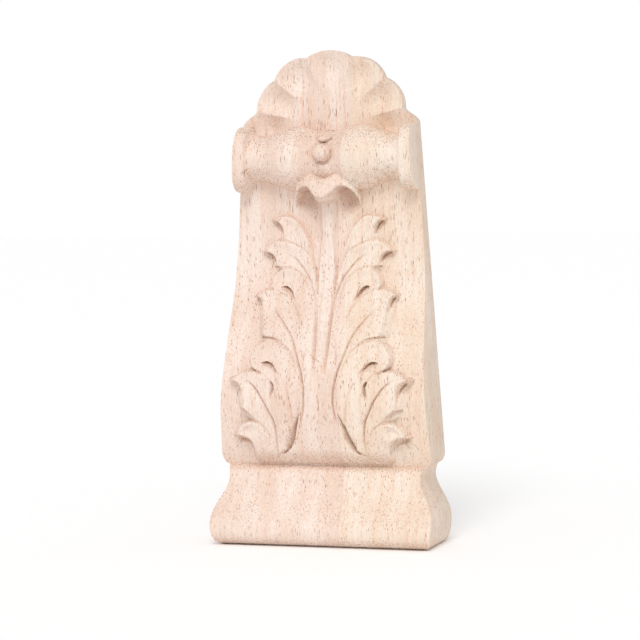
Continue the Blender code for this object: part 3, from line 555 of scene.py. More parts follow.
@dataclass(frozen=True)
class Leaf:
    """One leaf of the stalk on the right half.

    top runs along its upper edge from root to tip, under along its lower edge from tip to root
    without the tip itself. It parts from what lies under it at the share free_from of its upper
    edge, and stands lift over that. lip is the height of the fine rim inside its edge and dish
    the depth of its hollow. Its lower wall slopes out over the width foot.
    """

    top: Line
    under: Line
    free_from: float
    lift: float = 0.3
    lip: float = 0.1
    dish: float = 0.45
    foot: float = 1.4
    rim_in: float = 0.7          # the fine rim's distance inside the edge, and its width
    rim_width: float = 0.35
    parting: float = 0.3         # share of the edge over which the leaf parts
    low_edge: float = 0.88       # share of its height that the wall reaches at the edge
    edge_round: float = 1.2      # width over which it rises to its full height
    dish_from: float = 0.9       # distances inside the edge between which the hollow deepens
    dish_full: float = 3.0
    dish_root: float = 0.35      # shares of the upper edge between which it starts
    dish_tip: float = 0.7
    wall_out: float = 0.15       # how far outside its edge the upper wall starts
    wall_in: float = 0.45        # how far inside the edge a wall ends
    wall_bend: float = 1.2       # above 1 a wall rises fast at first
    slope_from: float = 0.4      # shares of the way from the upper edge to the lower between
    slope_full: float = 0.75     # which the wall gets its slope

    def ring(self) -> Field:
        """The leaf's closed outline."""
        return np.vstack([spline(self.top), spline((self.top[-1],) + self.under)[1:]])

    def relief(self, x: Field, z: Field) -> tuple[Field, Field, Field, Field]:
        """Shape of the leaf at each place.

        Args:
            x: places across.
            z: places up.

        Returns:
            Height over the foliage's common level, distance inside the leaf's outline, how far
            the leaf is parted from what lies under it, and share of the full height it stands at.
        """
        over, share = nearest(x, z, spline(self.top))
        below, _ = nearest(x, z, spline((self.top[-1],) + self.under))
        within = inside_by(x, z, self.ring())
        free = ease(share, self.free_from - self.parting, self.free_from)
        rim = self.lip * np.exp(-(((within - self.rim_in) / self.rim_width) ** 2))
        hollow = self.dish * ease(within, self.dish_from, self.dish_full)
        hollow = hollow * ease(share, self.dish_root, self.dish_tip)
        way_down = over / (over + below + SMALL)
        out = self.wall_out + self.foot * ease(way_down, self.slope_from, self.slope_full)
        wall = 1 - (1 - np.clip((within + out) / (out + self.wall_in), 0, 1)) ** self.wall_bend
        wall = wall * (self.low_edge + (1 - self.low_edge) * ease(within, 0, self.edge_round))
        return self.lift * free + rim - hollow, within, free, wall


@dataclass(frozen=True)
class VeeCut:
    """A sharp cut along a line with rolled shoulders, its depths given at even shares of its run."""

    line: Line
    half: float
    depths: tuple[float, ...]
    shoulder: float = 1.3
    sharpness: float = 0.7       # share of the depth that is the sharp cut

    def depth(self, x: Field, z: Field) -> Field:
        """How far the cut takes the surface down at each place.

        Args:
            x: places across.
            z: places up.

        Returns:
            The depths to take off.
        """
        distance, share = nearest(x, z, spline(self.line))
        deep = np.interp(share, np.linspace(0, 1, len(self.depths)), self.depths)
        sharp = np.clip(1 - distance / self.half, 0, 1)
        rolled = np.exp(-((distance / self.shoulder) ** 2))
        return deep * (self.sharpness * sharp + (1 - self.sharpness) * rolled)


@dataclass(frozen=True)
class Scoop:
    """A hollow cut in from one side: steep to the left of its line, rising gently on the right."""

    line: Line
    deep: float
    soft: float
    steep: float = 0.3
    tail: float = 0.6            # share of the run over which it grows from its thin end
    head: float = 0.22           # share over which it closes at the tip
    thin: float = 0.45           # width of the thin end, as a share
    bend: float = 1.6            # above 1 the gentle side rises steeply first

    def depth(self, x: Field, z: Field) -> Field:
        """How far the scoop takes the surface down at each place.

        Args:
            x: places across.
            z: places up.

        Returns:
            The depths to take off.
        """
        distance, share = beside(x, z, spline(self.line))
        grown = ease(share, 0, self.tail)
        reach = self.soft * (self.thin + (1 - self.thin) * grown)
        gentle = (1 - np.clip(distance / reach, 0, 1)) ** self.bend
        sharp = np.clip(1 + distance / self.steep, 0, 1)
        ends = grown * ease(1 - share, 0, self.head)
        return self.deep * ends * np.where(distance > 0, gentle, sharp)


@dataclass(frozen=True)
class AcanthusStalk:
    """The stalk of leaves on the panel: one flush mass of trunk and leaves, stem, cuts and scoops."""

    level: Line = ((20, 3.0), (30, 3.4), (42, 3.8), (58, 3.9), (72, 3.6), (84, 3.1), (96, 2.5), (108, 2.0))
    stem_lift: Line = ((50, 0.0), (58, 0.3), (70, 0.6), (82, 0.5), (92, 0.5), (102, 0.9), (114, 1.4))
    stem_half: float = 2.6
    stem_foot: float = 54.0
    stem_top: float = 114.0
    web_rise: float = 1.5        # low web of wood beside the stem, its place, width and top
    web_x: float = 3.0
    web_width: float = 3.0
    web_fades: float = 94.0
    web_ends: float = 108.0
    stem_grows: float = 14.0     # height over which the stem rises out of the trunk
    trunk_side: Line = (
        (0.6, 112), (2.2, 103), (3, 93), (3.8, 85), (4.8, 78), (5.2, 72), (5.8, 62), (6.8, 46),
        (8.2, 39), (9.4, 34.5), (11.6, 31.4), (14.4, 29.8), (17.5, 28), (20, 26.2))
    trunk_past: float = 3.0      # how far past the middle its outline runs
    trunk_out: float = 0.2       # its wall rises from this far outside the outline
    trunk_in: float = 0.8        # to this far inside it
    edge_cut: float = 0.45       # depth and width of the fine line round a parted leaf
    edge_width: float = 0.4
    join: float = 0.2            # how far each side of its edge a parted leaf takes over
    join_more: float = 3.5       # how much further in where it isn't parted
    leaf_reach: float = 3.0      # how far beyond their points leaves, cuts and scoops can tell
    cut_reach: float = 4.0
    scoop_reach: float = 3.0
    upper_rows: tuple[float, ...] = (-0.2, 0.1, 0.45)   # mesh rows beside a leaf's upper edge
    inner_row: float = 0.45      # mesh row inside its lower edge
    tuck_z: float = 25.9         # the leaves' foot turns in to the crease: where, and over what height
    tuck_height: float = 5.5
    tuck_least: float = 0.1      # share of the rise that is left at the crease
    tuck_bend: float = 1.8       # above 1 the mass rises fast at first out of the crease
    leaves: tuple[Leaf, ...] = (
        # top leaf
        Leaf(((2.6, 82), (4.6, 92.5), (6.6, 99.3), (9, 103.2), (11.3, 105.7), (13.4, 106.7),
              (16.4, 106.5), (19.6, 105.2)),
             ((17.6, 104.6), (15.6, 102.4), (15.2, 98.3), (14, 94.5), (6, 87), (4, 80)),
             free_from=0.2, lift=0.2),
        # hooked leaf under it
        Leaf(((2.4, 74), (3.5, 87), (4.7, 90.5), (6.4, 93.9), (9.4, 96.2), (13, 97.8), (17, 98.9),
              (19.4, 97.7), (21.3, 95.9), (22.8, 95)),
             ((20.3, 94.4), (18.3, 93), (17.5, 90.2), (15.8, 89.4), (9.5, 85.5), (5, 75), (3.6, 68)),
             free_from=0.3, lift=0.2),
        # its round lobe
        Leaf(((3, 70), (4.6, 79), (7.2, 85.6), (9.6, 88.2), (12.2, 89.4), (15, 89.7), (17.1, 88.5),
              (18.4, 86.4), (18.8, 84.2), (18, 82.2), (16, 81.2)),
             ((12.4, 78), (8.6, 70), (6.2, 58)),
             free_from=0.42, lift=0.35, lip=0.22, dish=0.55, foot=1.5),
        # middle hooked leaf
        Leaf(((4.6, 56), (6.6, 68), (9.6, 76.6), (12.4, 80), (15.6, 82), (18, 82.9), (20.6, 82.9),
              (22.6, 82), (24.4, 80.9)),
             ((22.8, 80), (21.7, 78), (20.7, 71), (20, 67.6), (15.2, 63.4), (9.6, 57.5), (6.2, 43)),
             free_from=0.5, lift=0.3, lip=0.1, dish=0.3, foot=1.9),
        # its round lobe
        Leaf(((5.8, 44), (6.8, 54), (9.4, 61.4), (12, 64.2), (15.5, 66.4), (19, 66.9), (22, 65.1),
              (23.8, 62.6), (24.2, 60.6), (23.4, 58.3), (21.5, 56.6)),
             ((19.6, 55.4), (17.2, 50.2), (14.8, 41.6), (12.6, 31)),
             free_from=0.45, lift=0.35, lip=0.22, dish=0.55, foot=1.3),
        # lower hooked leaf
        Leaf(((11.4, 31), (13, 42), (15.2, 50.6), (17.6, 54.8), (20.3, 56.5), (23, 57.2), (25.5, 57),
              (27.6, 56), (29.2, 55), (30.9, 54.2)),
             ((28.2, 53), (26.6, 51), (26.1, 45), (22.8, 41.6), (19.4, 37), (14.6, 28.5)),
             free_from=0.5, lift=0.3, lip=0.15, dish=0.3, foot=1.9),
        # lowest lobe
        Leaf(((13.5, 29.5), (16.6, 35), (19, 38.6), (21.5, 40.4), (24, 40.7), (26.5, 39.7),
              (27.8, 38.1), (28.7, 36.7), (30.2, 36)),
             ((27, 35.2), (24.2, 34), (23.3, 31.4), (22.8, 28), (20.6, 26.4), (17.4, 27.4), (15, 28.6)),
             free_from=0.45, lift=0.3, lip=0.1, dish=0.7, foot=0.8),
    )
    cuts: tuple[VeeCut, ...] = (
        # vein of the upper hooked leaf
        VeeCut(((14.4, 94.4), (11, 92.6), (9, 90.6), (7, 88), (5.4, 85.5), (4.3, 82.5), (3.3, 79.5),
                (2.8, 76.5)),
               half=0.36, depths=(0, 0.7, 0.9, 0.9, 1.0, 1.1), shoulder=1.0),
        # groove beside the stem, upper half
        VeeCut(((2.9, 108), (3.0, 95), (3.0, 84), (2.8, 76)),
               half=0.6, depths=(0.3, 0.6, 0.7, 1.3), shoulder=1.0),
        # groove beside the stem, lower half
        VeeCut(((2.8, 77), (2.5, 72), (2.3, 66), (2.1, 61), (1.95, 57), (1.9, 54)),
               half=0.65, depths=(1.3, 1.8, 2.1, 2.0, 1.3, 0), shoulder=1.0),
        # vein of the middle hooked leaf
        VeeCut(((19, 77.7), (16, 75), (13, 71.5), (10.5, 68), (9, 64.5), (7.6, 60.5), (6.2, 56.5),
                (5.4, 53), (5, 50), (5, 46), (5.6, 42.5), (6.3, 40), (7, 37.5)),
               half=0.42, depths=(0, 0.8, 1.0, 1.2, 1.5, 1.6, 1.6, 1.2, 0)),
        # vein of the lower hooked leaf
        VeeCut(((26, 54.2), (24, 53.4), (22, 51.8), (20.5, 50), (18.7, 47.2), (17, 43.8), (15.7, 41),
                (15.1, 38), (14.9, 35), (15, 31.3), (15.4, 28)),
               half=0.42, depths=(0, 1.1, 1.3, 1.4, 1.4, 1.2, 0.9, 0.5)),
        # vein of the middle lobe
        VeeCut(((13.4, 55.6), (12, 53), (10.5, 50), (9.5, 46), (9, 42), (8.8, 39)),
               half=0.4, depths=(0.1, 0.6, 0.7, 0.5), shoulder=1.0),
        # foot of the trunk, beside the lowest leaves
        VeeCut(((8.7, 38.5), (9, 36), (9.8, 33.8), (11, 31.7), (13.4, 30.2), (17, 28.4), (20, 26.5)),
               half=0.6, depths=(0, 0.3, 0.6, 0.6, 0.4, 0.2), shoulder=1.2),
        # line between middle hook and lobe
        VeeCut(((20.6, 67.4), (17.5, 67.3), (14, 66.2), (11.6, 64.2)),
               half=0.45, depths=(1.4, 0.9, 0.4, 0), shoulder=1.0),
    )
    scoops: tuple[Scoop, ...] = (
        # under the top leaf's tip
        Scoop(((15.6, 98.6), (15.8, 101.2), (16.5, 103.2), (17.6, 104.3), (19.4, 104.6)),
              deep=2.9, soft=1.8),
        # under the upper hook's tip
        Scoop(((17.6, 89.6), (17.9, 91.6), (18.7, 93.3), (20.2, 94.3), (22.2, 94.4)),
              deep=3.1, soft=1.7),
        # over the upper lobe
        Scoop(((15.6, 89.2), (17, 89.8), (18.6, 90)),
              deep=1.3, soft=1.2),
        # eye of the upper lobe
        Scoop(((9.4, 77.4), (10.1, 79), (11, 81), (12.3, 82.8), (13.8, 83.6), (15.4, 83.1)),
              deep=2.4, soft=1.8),
        # under the middle hook's tip
        Scoop(((21.4, 74), (21.8, 78), (22.7, 79.6), (24.2, 80.2)),
              deep=2.7, soft=1.7),
        # eye of the middle lobe
        Scoop(((13, 55), (14.2, 56.6), (15.2, 57.9), (16.4, 59.1), (18, 59.7), (20.2, 59.2)),
              deep=2.4, soft=2.0),
        # drop-shaped eye beside the lower hook
        Scoop(((16.5, 47), (15.9, 49), (15.4, 51), (15.5, 52.6), (16.6, 53.9)),
              deep=2.8, soft=1.1),
        # under the lower hook's tip
        Scoop(((26.5, 46), (26.5, 50), (28, 52.5), (30.2, 53.3)),
              deep=2.8, soft=1.7),
        # between lower hook and lowest lobe
        Scoop(((22, 40.6), (23.4, 42.6), (25.4, 44.1), (28, 44.6)),
              deep=2.6, soft=2.2),
        # under the lowest lobe's tip
        Scoop(((23.2, 28.6), (23.4, 32), (24.6, 34.4), (26.8, 35.1), (29.8, 35.2)),
              deep=3.6, soft=2.0),
    )

    def creases(self, step: float) -> Field:
        """Places along the sharp lines, for the mesh to follow.

        Args:
            step: distance between places.

        Returns:
            The places, one row each.
        """
        found = [tracks(leaf.top, self.upper_rows, step) for leaf in self.leaves]
        found += [tracks((leaf.top[-1],) + leaf.under, (-leaf.foot, 0.0, self.inner_row), step)
                  for leaf in self.leaves]
        found += [tracks(cut.line, (-cut.half, 0.0, cut.half), step) for cut in self.cuts]
        found += [tracks(scoop.line, (-scoop.steep, 0.0), step) for scoop in self.scoops]
        return np.vstack(found)

    def trunk(self, x: Field, z: Field) -> Field:
        """Share of the full height at which the trunk stands.

        Args:
            x: places across.
            z: places up.

        Returns:
            The shares, 0 beside the trunk.
        """
        side = spline(self.trunk_side)
        ring = np.vstack([side, [(-self.trunk_past, side[-1, 1]), (-self.trunk_past, side[0, 1])]])
        return ease(inside_by(x, z, ring), -self.trunk_out, self.trunk_in)

    def rise(self, x: Field, z: Field) -> Field:
        """Rise of the leaves, trunk and stem over the panel.

        Args:
            x: places across.
            z: places up.

        Returns:
            The rises.
        """
        mass = self.trunk(x, z)
        form = np.zeros(x.shape)
        for leaf in self.leaves:
            near = close_to(x, z, leaf.top + leaf.under, self.leaf_reach)
            own, within, free, wall = leaf.relief(x[near], z[near])
            cut = self.edge_cut * np.exp(-((within / self.edge_width) ** 2)) * free * mass[near]
            before = form[near] - np.where(within <= 0, cut, 0)
            full = self.join + self.join_more * (1 - free)
            form[near] = before + (own - before) * ease(within, -self.join, full)
            mass[near] = np.maximum(mass[near], wall)
        level = along(self.level, z)
        beside_stem = np.exp(-(((x - self.web_x) / self.web_width) ** 2))
        web = self.web_rise * beside_stem * (1 - ease(z, self.web_fades, self.web_ends))
        rise = np.maximum(mass * (level + form), web)
        arch = np.sqrt(np.clip(1 - (x / self.stem_half) ** 2, 0, 1))
        stem = (level + along(self.stem_lift, z)) * arch
        in_stem = (x < self.stem_half) & (z > self.stem_foot) & (z < self.stem_top)
        growth = ease(z, self.stem_foot, self.stem_foot + self.stem_grows)
        grown = rise + np.maximum(stem - rise, 0) * growth
        rise = np.where(in_stem, grown, rise)
        deepest = np.zeros(x.shape)
        for cut in self.cuts:
            near = close_to(x, z, cut.line, self.cut_reach)
            deepest[near] = np.maximum(deepest[near], cut.depth(x[near], z[near]))
        return np.maximum(rise - deepest, 0)

    def over(self, x: Field, z: Field, panel: Field) -> Field:
        """Depth of the panel with the stalk on it and the scoops sunk in it.

        Args:
            x: places across.
            z: places up.
            panel: depth of the plain panel.

        Returns:
            The depths.
        """
        up = np.clip((z - self.tuck_z) / self.tuck_height, 0, 1)
        tucked = self.tuck_least + (1 - self.tuck_least) * (1 - (1 - up) ** self.tuck_bend)
        depth = panel + self.rise(x, z) * tucked
        for scoop in self.scoops:
            near = close_to(x, z, scoop.line, self.scoop_reach)
            depth[near] -= scoop.depth(x[near], z[near])
        return depth


def add(tree: bpy.types.NodeTree, kind: str, inputs: dict | tuple = (),
        **settings: object) -> bpy.types.Node:
    """Adds a node.

    Args:
        tree: the node tree.
        kind: the node's type.
        inputs: the inputs in order, or by name or number. Each is a value, a socket to link, or
            a node whose first output is linked.
        settings: attributes of the node.

    Returns:
        The node.
    """
    node = tree.nodes.new(kind)
    for name, value in settings.items():
        setattr(node, name, value)
    for name, value in inputs.items() if isinstance(inputs, dict) else enumerate(inputs):
        if isinstance(value, bpy.types.Node):
            value = value.outputs[0]
        if isinstance(value, bpy.types.NodeSocket):
            tree.links.new(value, node.inputs[name])
        else:
            node.inputs[name].default_value = value
    return node


def linear(hex_colour: str) -> tuple[float, float, float, float]:
    """Turns an sRGB colour to linear light.

    Args:
        hex_colour: the colour, such as "F7DFCF".

    Returns:
        Linear red, green and blue, and an alpha of 1.
    """
    parts = [int(hex_colour[k:k + 2], 16) / 255 for k in (0, 2, 4)]
    red, green, blue = [p / 12.92 if p <= 0.04045 else ((p + 0.055) / 1.055) ** 2.4 for p in parts]
    return red, green, blue, 1.0


class Strip(Enum):
    """Boards that the block is glued up from, with the pale and the rich colour of each."""

    PINK = ("F2E1D5", "E9D0C0")
    CREAM = ("F2E3D4", "EBD4BF")


@dataclass(frozen=True)
class Patches:
    """Noise drawn out along the grain, and the span of it that is used."""

    width: float                 # of a patch, mm
    length: float                # of a patch up the grain, mm
    detail: float                # finer layers added to it
    low: float
    high: float
    roughness: float = 0.55      # strength of each finer layer


@dataclass(frozen=True)
class Vessels:
    """Long thin open cells that run up the wood, which the cut surface opens."""

    gap: float                   # between them, mm
    length: float                # mm
    size: float                  # width of the dark core, as a share of the gap
    kept: float                  # share of them that show
    fading: float = 0.25         # share of them that show faintly


@dataclass(frozen=True)
class GrowthRings:
    """Rings about the tree's middle, which show as lines up the front."""

    gap: float = 3.4             # width of a ring, mm
    centre: tuple[float, float] = (-120.0, 26.0)   # the tree's middle, x and y in mm
    late_from: float = 0.72      # share of a ring where its dark wood starts, and is darkest
    late_full: float = 0.94
    wander: Patches = Patches(width=16, length=70, detail=2, low=0.3, high=0.7)
    wander_by: float = 1.3       # mm
    fading: Patches = Patches(width=5, length=34, detail=2, low=0.4, high=0.6)
    faintest: float = 0.25


class WoodNodes:
    """Patterns of a solid wood in a material's node tree, at the wood's own place in millimetres."""

    def __init__(self, tree: bpy.types.NodeTree, seam_x: float, seam_width: float,
                 jump: tuple[float, float, float]) -> None:
        """Makes the place that the patterns read, with a jump from one board to the other.

        Args:
            tree: the material's node tree.
            seam_x: place of the glue line, mm.
            seam_width: its half width, mm.
            jump: how far apart in the tree the two boards were, mm.
        """
        self.tree = tree
        metres = self.add("ShaderNodeTexCoord").outputs["Object"]
        place = self.add("ShaderNodeMapping", {"Vector": metres, "Scale": (1 / MM, 1 / MM, 1 / MM)})
        across = self.add("ShaderNodeSeparateXYZ", (place,))
        self.board = self.add("ShaderNodeMapRange", (across, seam_x - seam_width, seam_x + seam_width, 0, 1))
        step = self.add("ShaderNodeVectorMath", {0: jump, "Scale": self.board}, operation="SCALE")
        self.wood = self.add("ShaderNodeVectorMath", (place, step), operation="ADD")

    def add(self, kind: str, inputs: dict | tuple = (), **settings: object) -> bpy.types.Node:
        """Adds a node to the tree."""
        return add(self.tree, kind, inputs, **settings)

    def patches(self, shape: Patches, least: float, most: float) -> bpy.types.Node:
        """Patches up the grain.

        Args:
            shape: their size, and the span of the noise that is used.
            least: value at the low end of the span.
            most: value at its high end.

        Returns:
            The value at each place.
        """
        scale = (1 / shape.width, 1 / shape.width, 1 / shape.length)
        scaled = self.add("ShaderNodeMapping", {"Vector": self.wood, "Scale": scale})
        noise = self.add("ShaderNodeTexNoise", {
            "Vector": scaled, "Scale": 1.0, "Detail": shape.detail, "Roughness": shape.roughness})
        return self.add("ShaderNodeMapRange", (noise, shape.low, shape.high, least, most))

    def end_grain(self, low: float, high: float) -> bpy.types.Node:
        """How far the surface cuts across the grain, from its normal.

        Args:
            low: upright share of the normal where it starts to.
            high: upright share where it does fully.

        Returns:
            0 along the grain, 1 across it.
        """
        normal = self.add("ShaderNodeTexCoord").outputs["Normal"]
        upright = self.add("ShaderNodeSeparateXYZ", (normal,)).outputs["Z"]
        slope = self.add("ShaderNodeMath", (upright,), operation="ABSOLUTE")
        return self.add("ShaderNodeMapRange", (slope, low, high, 0, 1))

    def rings(self, shape: GrowthRings) -> bpy.types.Node:
        """Dark late wood of the growth rings.

        Args:
            shape: the rings' sizes.

        Returns:
            1 at a ring's dark side, fading inward.
        """
        centre = (-shape.centre[0], -shape.centre[1], 0)
        flat = self.add("ShaderNodeMapping", {"Vector": self.wood, "Location": centre, "Scale": (1, 1, 0)})
        radius = self.add("ShaderNodeVectorMath", (flat,), operation="LENGTH").outputs["Value"]
        wander = self.patches(shape.wander, -shape.wander_by, shape.wander_by)
        radius = self.add("ShaderNodeMath", (radius, wander), operation="ADD")
        turns = self.add("ShaderNodeMath", (radius, 1 / shape.gap), operation="MULTIPLY")
        ring = self.add("ShaderNodeMath", (turns,), operation="FRACT")
        rising = self.add("ShaderNodeMapRange", (ring, shape.late_from, shape.late_full, 0, 1))
        ending = self.add("ShaderNodeMapRange", (ring, shape.late_full, 1, 1, 0))
        late = self.add("ShaderNodeMath", (rising, ending), operation="MULTIPLY")
        shown = self.patches(shape.fading, shape.faintest, 1)
        return self.add("ShaderNodeMath", (late, shown), operation="MULTIPLY")

    def vessels(self, shape: Vessels) -> bpy.types.Node:
        """Dark cores of the vessels.

        Args:
            shape: the vessels' sizes.

        Returns:
            1 in a vessel.
        """
        scale = (1 / shape.gap, 1 / shape.gap, 1 / shape.length)
        scaled = self.add("ShaderNodeMapping", {"Vector": self.wood, "Scale": scale})
        cells = self.add("ShaderNodeTexVoronoi", {"Vector": scaled, "Scale": 1.0, "Randomness": 1.0},
                         voronoi_dimensions="3D", feature="F1").outputs
        core = self.add("ShaderNodeMapRange", (cells["Distance"], shape.size / 2, shape.size, 1, 0))
        chance = self.add("ShaderNodeSeparateColor", (cells["Color"],))
        faint = 1 - shape.kept
        shown = self.add("ShaderNodeMapRange", (chance, faint, faint + shape.fading, 0, 1))
        return self.add("ShaderNodeMath", (core, shown), operation="MULTIPLY")


@dataclass(frozen=True)
class BareRubberwood:
    """Bare rubberwood, machine carved and sanded.

    The grain runs up the block. Cut along, its vessels show as short dark dashes, and where the
    surface turns across the grain as fine dots, so the pattern is solid: long thin vessels up
    through the wood. It is matt, pale and pinkish cream, glued up from two boards. The vessels
    are drawn a little coarser than real, to show in the render.
    """

    seam_x: float = 6.9          # glue line between the two boards, mm
    seam_width: float = 0.12
    board_jump: tuple[float, float, float] = (0.0, 31.0, 57.0)   # between them in the tree, mm
    dashes: Vessels = Vessels(gap=0.5, length=4.2, size=0.31, kept=0.7)
    long_dashes: Vessels = Vessels(gap=1.1, length=10.92, size=0.1705, kept=0.6)
    dots: Vessels = Vessels(gap=0.5, length=4.2, size=0.42, kept=1.1)   # across the grain, wider
    vessel_depth: float = 0.09   # mm
    vessel_colour: str = "A87660"
    vessel_strength: float = 0.85
    crowding: Patches = Patches(width=6, length=26, detail=2, low=0.36, high=0.6)
    sparse: float = 0.45         # strength of the dashes where they are few, and where many
    dense: float = 0.95
    ring_crowding: float = 0.5   # added to it along the rings' dark wood
    crowded_from: float = 0.1    # how dark a ring has to be for that
    crowded_full: float = 0.8
    tone: Patches = Patches(width=9, length=60, detail=2, low=0.35, high=0.65)
    streaks: Patches = Patches(width=0.9, length=38, detail=3, low=0.5, high=0.72)
    streak_colour: str = "E9BFA4"
    streak_strength: float = 0.45
    fibres: Patches = Patches(width=0.24, length=0.8, detail=2, low=0.35, high=0.65)
    fibre_dark: float = 0.9
    fibre_light: float = 1.07
    across_from: float = 0.3     # upright shares of the normal between which end grain shows
    across_full: float = 0.75
    end_grain_colour: str = "DDC0AC"
    end_grain_strength: float = 0.28
    rings: GrowthRings = GrowthRings()
    ring_strength: float = 0.42
    fuzz: Patches = Patches(width=0.35, length=1.6, detail=2, low=0.3, high=0.7)
    fuzz_rise: float = 0.3       # height of the sanded fibres, as a share of the vessels' depth
    relief_strength: float = 0.6
    roughness: float = 0.62      # sanded and unvarnished
    specular: float = 0.35

    def material(self) -> bpy.types.Material:
        """The finish as a node material on Object coordinates.

        Returns:
            The material.
        """
        material = bpy.data.materials.new("bare_rubberwood")
        material.use_nodes = True
        tree = material.node_tree
        nodes = WoodNodes(tree, self.seam_x, self.seam_width, self.board_jump)
        across = nodes.end_grain(self.across_from, self.across_full)
        late = nodes.rings(self.rings)
        shown = self.shown_vessels(nodes, across, late)
        fuzz = nodes.patches(self.fuzz, 0, self.fuzz_rise)
        surface = nodes.add("ShaderNodeMath", (fuzz, shown), operation="SUBTRACT")
        bump = nodes.add("ShaderNodeBump", {
            "Height": surface, "Distance": self.vessel_depth * MM, "Strength": self.relief_strength})
        shader = tree.nodes["Principled BSDF"]
        shader.inputs["Roughness"].default_value = self.roughness
        shader.inputs["Specular IOR Level"].default_value = self.specular
        tree.links.new(self.colour(nodes, across, late, shown), shader.inputs["Base Color"])
        tree.links.new(bump.outputs["Normal"], shader.inputs["Normal"])
        return material

    def shown_vessels(self, nodes: WoodNodes, across: bpy.types.Node,
                      late: bpy.types.Node) -> bpy.types.Node:
        """Vessels as dashes and, across the grain, as dots, crowded along the rings.

        Args:
            nodes: the wood's nodes.
            across: how far the surface cuts across the grain.
            late: the rings' dark wood.

        Returns:
            1 in a vessel that shows.
        """
        fine, long, round_ends = [nodes.vessels(kind) for kind in (self.dashes, self.long_dashes, self.dots)]
        dashes = nodes.add("ShaderNodeMath", (fine, long), operation="MAXIMUM")
        dots = nodes.add("ShaderNodeMath", (round_ends, across), operation="MULTIPLY")
        vessels = nodes.add("ShaderNodeMath", (dashes, dots), operation="MAXIMUM")
        crowd = nodes.patches(self.crowding, self.sparse, self.dense)
        ringed = nodes.add("ShaderNodeMapRange", (
            late, self.crowded_from, self.crowded_full, 0, self.ring_crowding))
        crowd = nodes.add("ShaderNodeMath", (crowd, ringed), operation="ADD")
        crowd = nodes.add("ShaderNodeMath", (crowd, across), operation="MAXIMUM")
        return nodes.add("ShaderNodeMath", (vessels, crowd), operation="MULTIPLY")

    def colour(self, nodes: WoodNodes, across: bpy.types.Node, late: bpy.types.Node,
               shown: bpy.types.Node) -> bpy.types.NodeSocket:
        """Colour of the wood: boards, streaks, end grain, rings and vessels in layers, and fibres.

        Args:
            nodes: the wood's nodes.
            across: how far the surface cuts across the grain.
            late: the rings' dark wood.
            shown: the vessels.

        Returns:
            The colour.
        """
        tone = nodes.patches(self.tone, 0, 1)
        boards = []
        for strip in Strip:
            pale, rich = map(linear, strip.value)
            board = nodes.add("ShaderNodeMix", {0: tone, 6: pale, 7: rich}, data_type="RGBA")
            boards.append(board.outputs[2])
        cut, ringed, open_vessel = [
            nodes.add("ShaderNodeMath", (share, strength), operation="MULTIPLY")
            for share, strength in (
                (across, self.end_grain_strength), (late, self.ring_strength), (shown, self.vessel_strength))]
        colour, other_board = boards
        for share, layer in (
                (nodes.board, other_board),
                (nodes.patches(self.streaks, 0, self.streak_strength), linear(self.streak_colour)),
                (cut, linear(self.end_grain_colour)),
                (ringed, linear(self.streak_colour)),
                (open_vessel, linear(self.vessel_colour))):
            layered = nodes.add("ShaderNodeMix", {0: share, 6: colour, 7: layer}, data_type="RGBA")
            colour = layered.outputs[2]
        fibres = nodes.patches(self.fibres, self.fibre_dark, self.fibre_light)
        grey = nodes.add("ShaderNodeCombineColor", (fibres, fibres, fibres))
        fibrous = nodes.add("ShaderNodeMix", {0: 1.0, 6: colour, 7: grey},
                            data_type="RGBA", blend_type="MULTIPLY")
        return fibrous.outputs[2]


@dataclass(frozen=True)
class MattPaper:
    """Uncoated white paper laid under the block: matt, so that it shows as a plain pale floor."""

    colour: str = "FEFEFE"
    roughness: float = 0.9

    def material(self) -> bpy.types.Material:
        """The paper as a material.

        Returns:
            The material.
        """
        material = bpy.data.materials.new("matt_paper")
        material.use_nodes = True
        shader = material.node_tree.nodes["Principled BSDF"]
        shader.inputs["Base Color"].default_value = linear(self.colour)
        shader.inputs["Roughness"].default_value = self.roughness
        return material


